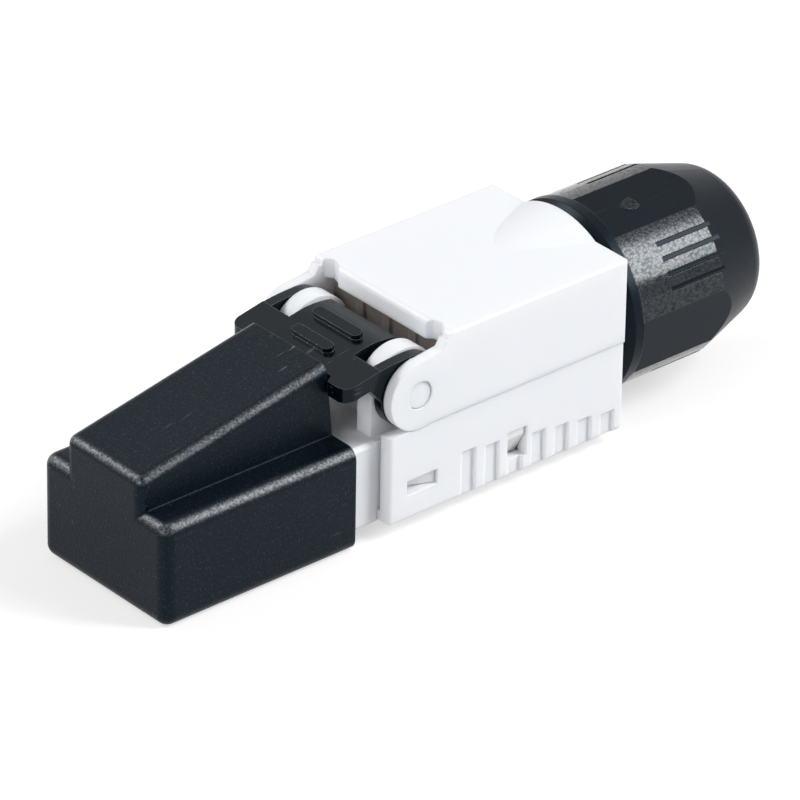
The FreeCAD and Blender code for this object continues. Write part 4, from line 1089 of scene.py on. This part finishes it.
@dataclass
class CableGland:
    """The gland nut with the collet and the seal inside.

    The gate's profile goes inwards, each point as a share of its radius and a share of its rise.
    """

    workshop: Workshop
    axis_height: float = GLAND_AXIS
    gate_along: float = 0.0177
    gate_angle: float = 103.7
    flat_height: float = 0.00666
    gate_radius: float = 0.00064
    gate_rise: float = 0.00008
    gate_profile: tuple[tuple[float, float], ...] = (
        (1.0, -0.3), (0.86, 0.55), (0.66, 0.9), (0.45, -0.1), (0.2, 0.55),
    )
    gate_steps: int = 28
    gate_stretch: float = 1.15
    tears: tuple[Tear, ...] = (Tear(0.10, 3, 5.0), Tear(0.06, 7, 0.0))
    lumps: Tear = Tear(0.25, 5, 9.0)
    seal_bore: float = 0.0031
    seal_ribs: int = 3
    rib_reach: float = 0.00022
    rib_foot: float = 0.0005
    rib_crest: float = 0.3
    rib_sink: float = 0.00003
    rib_steps: int = 48

    def build(self) -> None:
        """Adds the nut's gate mark and the seal's ribs."""
        self.build_gate()
        self.build_ribs()

    def build_gate(self) -> None:
        """Adds the torn round mark where the nut's mould was filled."""
        build = bmesh.new()
        angle = math.radians(self.gate_angle)
        normal = Vector((0.0, math.cos(angle), math.sin(angle)))
        centre = Vector((self.gate_along, 0.0, self.axis_height)) + normal * self.flat_height
        side = Vector((1.0, 0.0, 0.0))
        other = normal.cross(side)
        rings = []
        for reach, rise in self.gate_profile:
            ring = []
            for step in range(self.gate_steps):
                turn = 2 * math.pi * step / self.gate_steps
                torn = 1.0 + sum(tear.at(turn, reach) for tear in self.tears)
                lift = rise + self.lumps.at(turn, reach)
                way = side * math.cos(turn) * self.gate_stretch + other * math.sin(turn)
                out = way * (reach * torn * self.gate_radius)
                ring.append(tuple(centre + out + normal * (lift * self.gate_rise)))
            rings.append(ring)
        sweep(build, rings, closed=False)
        self.workshop.add("nut_gate_mark", build, Body.NUT, "nut", GATE_SCAR)

    def build_ribs(self) -> None:
        """Adds the low ribs that grip the cable inside the seal."""
        build = bmesh.new()
        lowest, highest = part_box("cable_seal")
        spacing = (highest[0] - lowest[0]) / self.seal_ribs
        half = self.rib_foot / 2
        crest = half * self.rib_crest
        section = [
            (self.rib_sink, -half),
            (-self.rib_reach, -crest),
            (-self.rib_reach, crest),
            (self.rib_sink, half),
        ]
        for number in range(self.seal_ribs):
            centre = (lowest[0] + spacing * (number + 0.5), 0.0, self.axis_height)
            ring_about(build, centre, (1.0, 0.0, 0.0), self.seal_bore, section, self.rib_steps)
        self.workshop.add("seal_ribs", build, Body.CLAMP, "seal", SEAL_RUBBER)

    def dress(self) -> None:
        """Gives the nut, the collet and the seal their finishes."""
        self.workshop.dress("gland_nut", NUT_BLACK)
        self.workshop.dress("clamp_collet", COLLET_GREY)
        self.workshop.dress("cable_seal", SEAL_RUBBER)


# Studio


@dataclass(frozen=True)
class Lamp:
    """A soft box of the studio, aimed at the middle of the plug."""

    name: str
    place: Point
    size: tuple[float, float]
    power: float
    aim: Point = (0.0, 0.0, 0.008)

    def build(self) -> None:
        """Sets the soft box up."""
        data = bpy.data.lights.new(self.name, "AREA")
        data.shape = "RECTANGLE"
        data.size, data.size_y = self.size
        data.energy = self.power
        lamp = bpy.data.objects.new(self.name, data)
        lamp.location = self.place
        direction = Vector(self.aim) - Vector(self.place)
        lamp.rotation_euler = direction.to_track_quat("-Z", "Y").to_euler()
        bpy.context.scene.collection.objects.link(lamp)


@dataclass
class Studio:
    """Pale floor, soft lamps, white surroundings and the camera."""

    eye: Point = (-0.291583, -0.332568, 0.260001)
    ahead: Point = (0.57421893, 0.65353012, -0.49312371)
    up: Point = (0.31070304, 0.38330835, 0.86979212)
    lens: float = 337.24
    shift: tuple[float, float] = (-0.0313, -0.0718)
    sensor: float = 36.0
    view_range: tuple[float, float] = (0.01, 20.0)
    floor_half: float = 3.0
    floor_squares: int = 8
    floor_drop: float = 0.00002
    floor_glow: float = 0.52
    paper: tuple[Colour, Colour] = ((0.58, 0.58, 0.58), (0.62, 0.62, 0.62))
    paper_fibre: float = 900.0
    paper_roughness: float = 0.9
    paper_specular: float = 0.1
    air_light: float = 0.23
    lamps: tuple[Lamp, ...] = (
        Lamp("right box", (0.34, -0.34, 0.37), (0.22, 0.44), 3.4),
        Lamp("back box", (-0.29, 0.39, 0.35), (0.18, 0.30), 1.5),
        Lamp("left box", (-0.54, -0.12, 0.20), (0.34, 0.30), 1.2),
    )

    def build(self) -> None:
        """Builds the whole studio."""
        self.build_world()
        self.build_floor()
        for lamp in self.lamps:
            lamp.build()
        self.build_camera()
        bpy.context.scene.view_settings.view_transform = "Standard"

    def shown(self, tree: Tree) -> NodeSocket:
        """Tells the rays that show the background from those that only light the plug.

        Args:
            tree: The tree of the floor's material or of the world.

        Returns:
            1 for camera, glossy and transmission rays, and 0 for others.
        """
        rays = tree.node("ShaderNodeLightPath")
        seen = tree.math("MAXIMUM", rays.outputs["Is Camera Ray"], rays.outputs["Is Transmission Ray"])
        return tree.math("MAXIMUM", seen, rays.outputs["Is Glossy Ray"])

    def build_world(self) -> None:
        """Makes surroundings that are seen as white and light the object softly."""
        world = bpy.data.worlds.new("studio air")
        world.use_nodes = True
        bpy.context.scene.world = world
        tree = Tree(world.node_tree)
        background = world.node_tree.nodes["Background"]
        extra = tree.math("MULTIPLY", self.shown(tree), 1.0 - self.air_light)
        strength = tree.math("ADD", extra, self.air_light)
        background.inputs["Color"].default_value = (1.0, 1.0, 1.0, 1.0)
        tree.put(background.inputs["Strength"], strength)

    def build_floor(self) -> None:
        """Makes the pale floor, which is white to the camera and keeps a soft shadow."""
        build = bmesh.new()
        squares = self.floor_squares
        bmesh.ops.create_grid(build, x_segments=squares, y_segments=squares, size=self.floor_half)
        floor = make_piece("floor", build)
        floor.location = (0.0, 0.0, -self.floor_drop)
        material, tree, shader = start_material("floor paper")
        fibre = tree.noise(tree.place(), self.paper_fibre, 3.0)
        tree.link(tree.mix(fibre, *self.paper), shader.inputs["Base Color"])
        shader.inputs["Roughness"].default_value = self.paper_roughness
        shader.inputs["Specular IOR Level"].default_value = self.paper_specular
        glow = tree.node("ShaderNodeEmission")
        tree.put(glow.inputs["Strength"], tree.math("MULTIPLY", self.shown(tree), self.floor_glow))
        both = tree.node("ShaderNodeAddShader")
        tree.link(shader.outputs[0], both.inputs[0])
        tree.link(glow.outputs[0], both.inputs[1])
        tree.link(both.outputs[0], material.node_tree.nodes["Material Output"].inputs["Surface"])
        floor.data.materials.append(material)

    def build_camera(self) -> None:
        """Sets the camera at the photograph's angle."""
        data = bpy.data.cameras.new("camera")
        data.sensor_width = self.sensor
        data.lens = self.lens
        data.shift_x, data.shift_y = self.shift
        data.clip_start, data.clip_end = self.view_range
        camera = bpy.data.objects.new("camera", data)
        back = -Vector(self.ahead)
        up = Vector(self.up)
        right = up.cross(back).normalized()
        turn = Matrix((right, up, back)).transposed().to_4x4()
        camera.matrix_world = Matrix.Translation(Vector(self.eye)) @ turn
        bpy.context.scene.collection.objects.link(camera)
        bpy.context.scene.camera = camera


def main() -> None:
    """Dresses the plug, adds its fine pieces and builds the studio."""
    logging.basicConfig(level=logging.INFO, format="%(name)s: %(message)s")
    workshop = Workshop(EffectShelf())
    DustCap(workshop).dress()
    LatchLever(workshop).dress()
    WireTerminals(workshop).dress()
    for part in (CircuitBoard(workshop), Housing(workshop), CableGland(workshop)):
        part.build()
        part.dress()
    Studio().build()
    log.info("studio built")


if __name__ == "__main__":
    main()
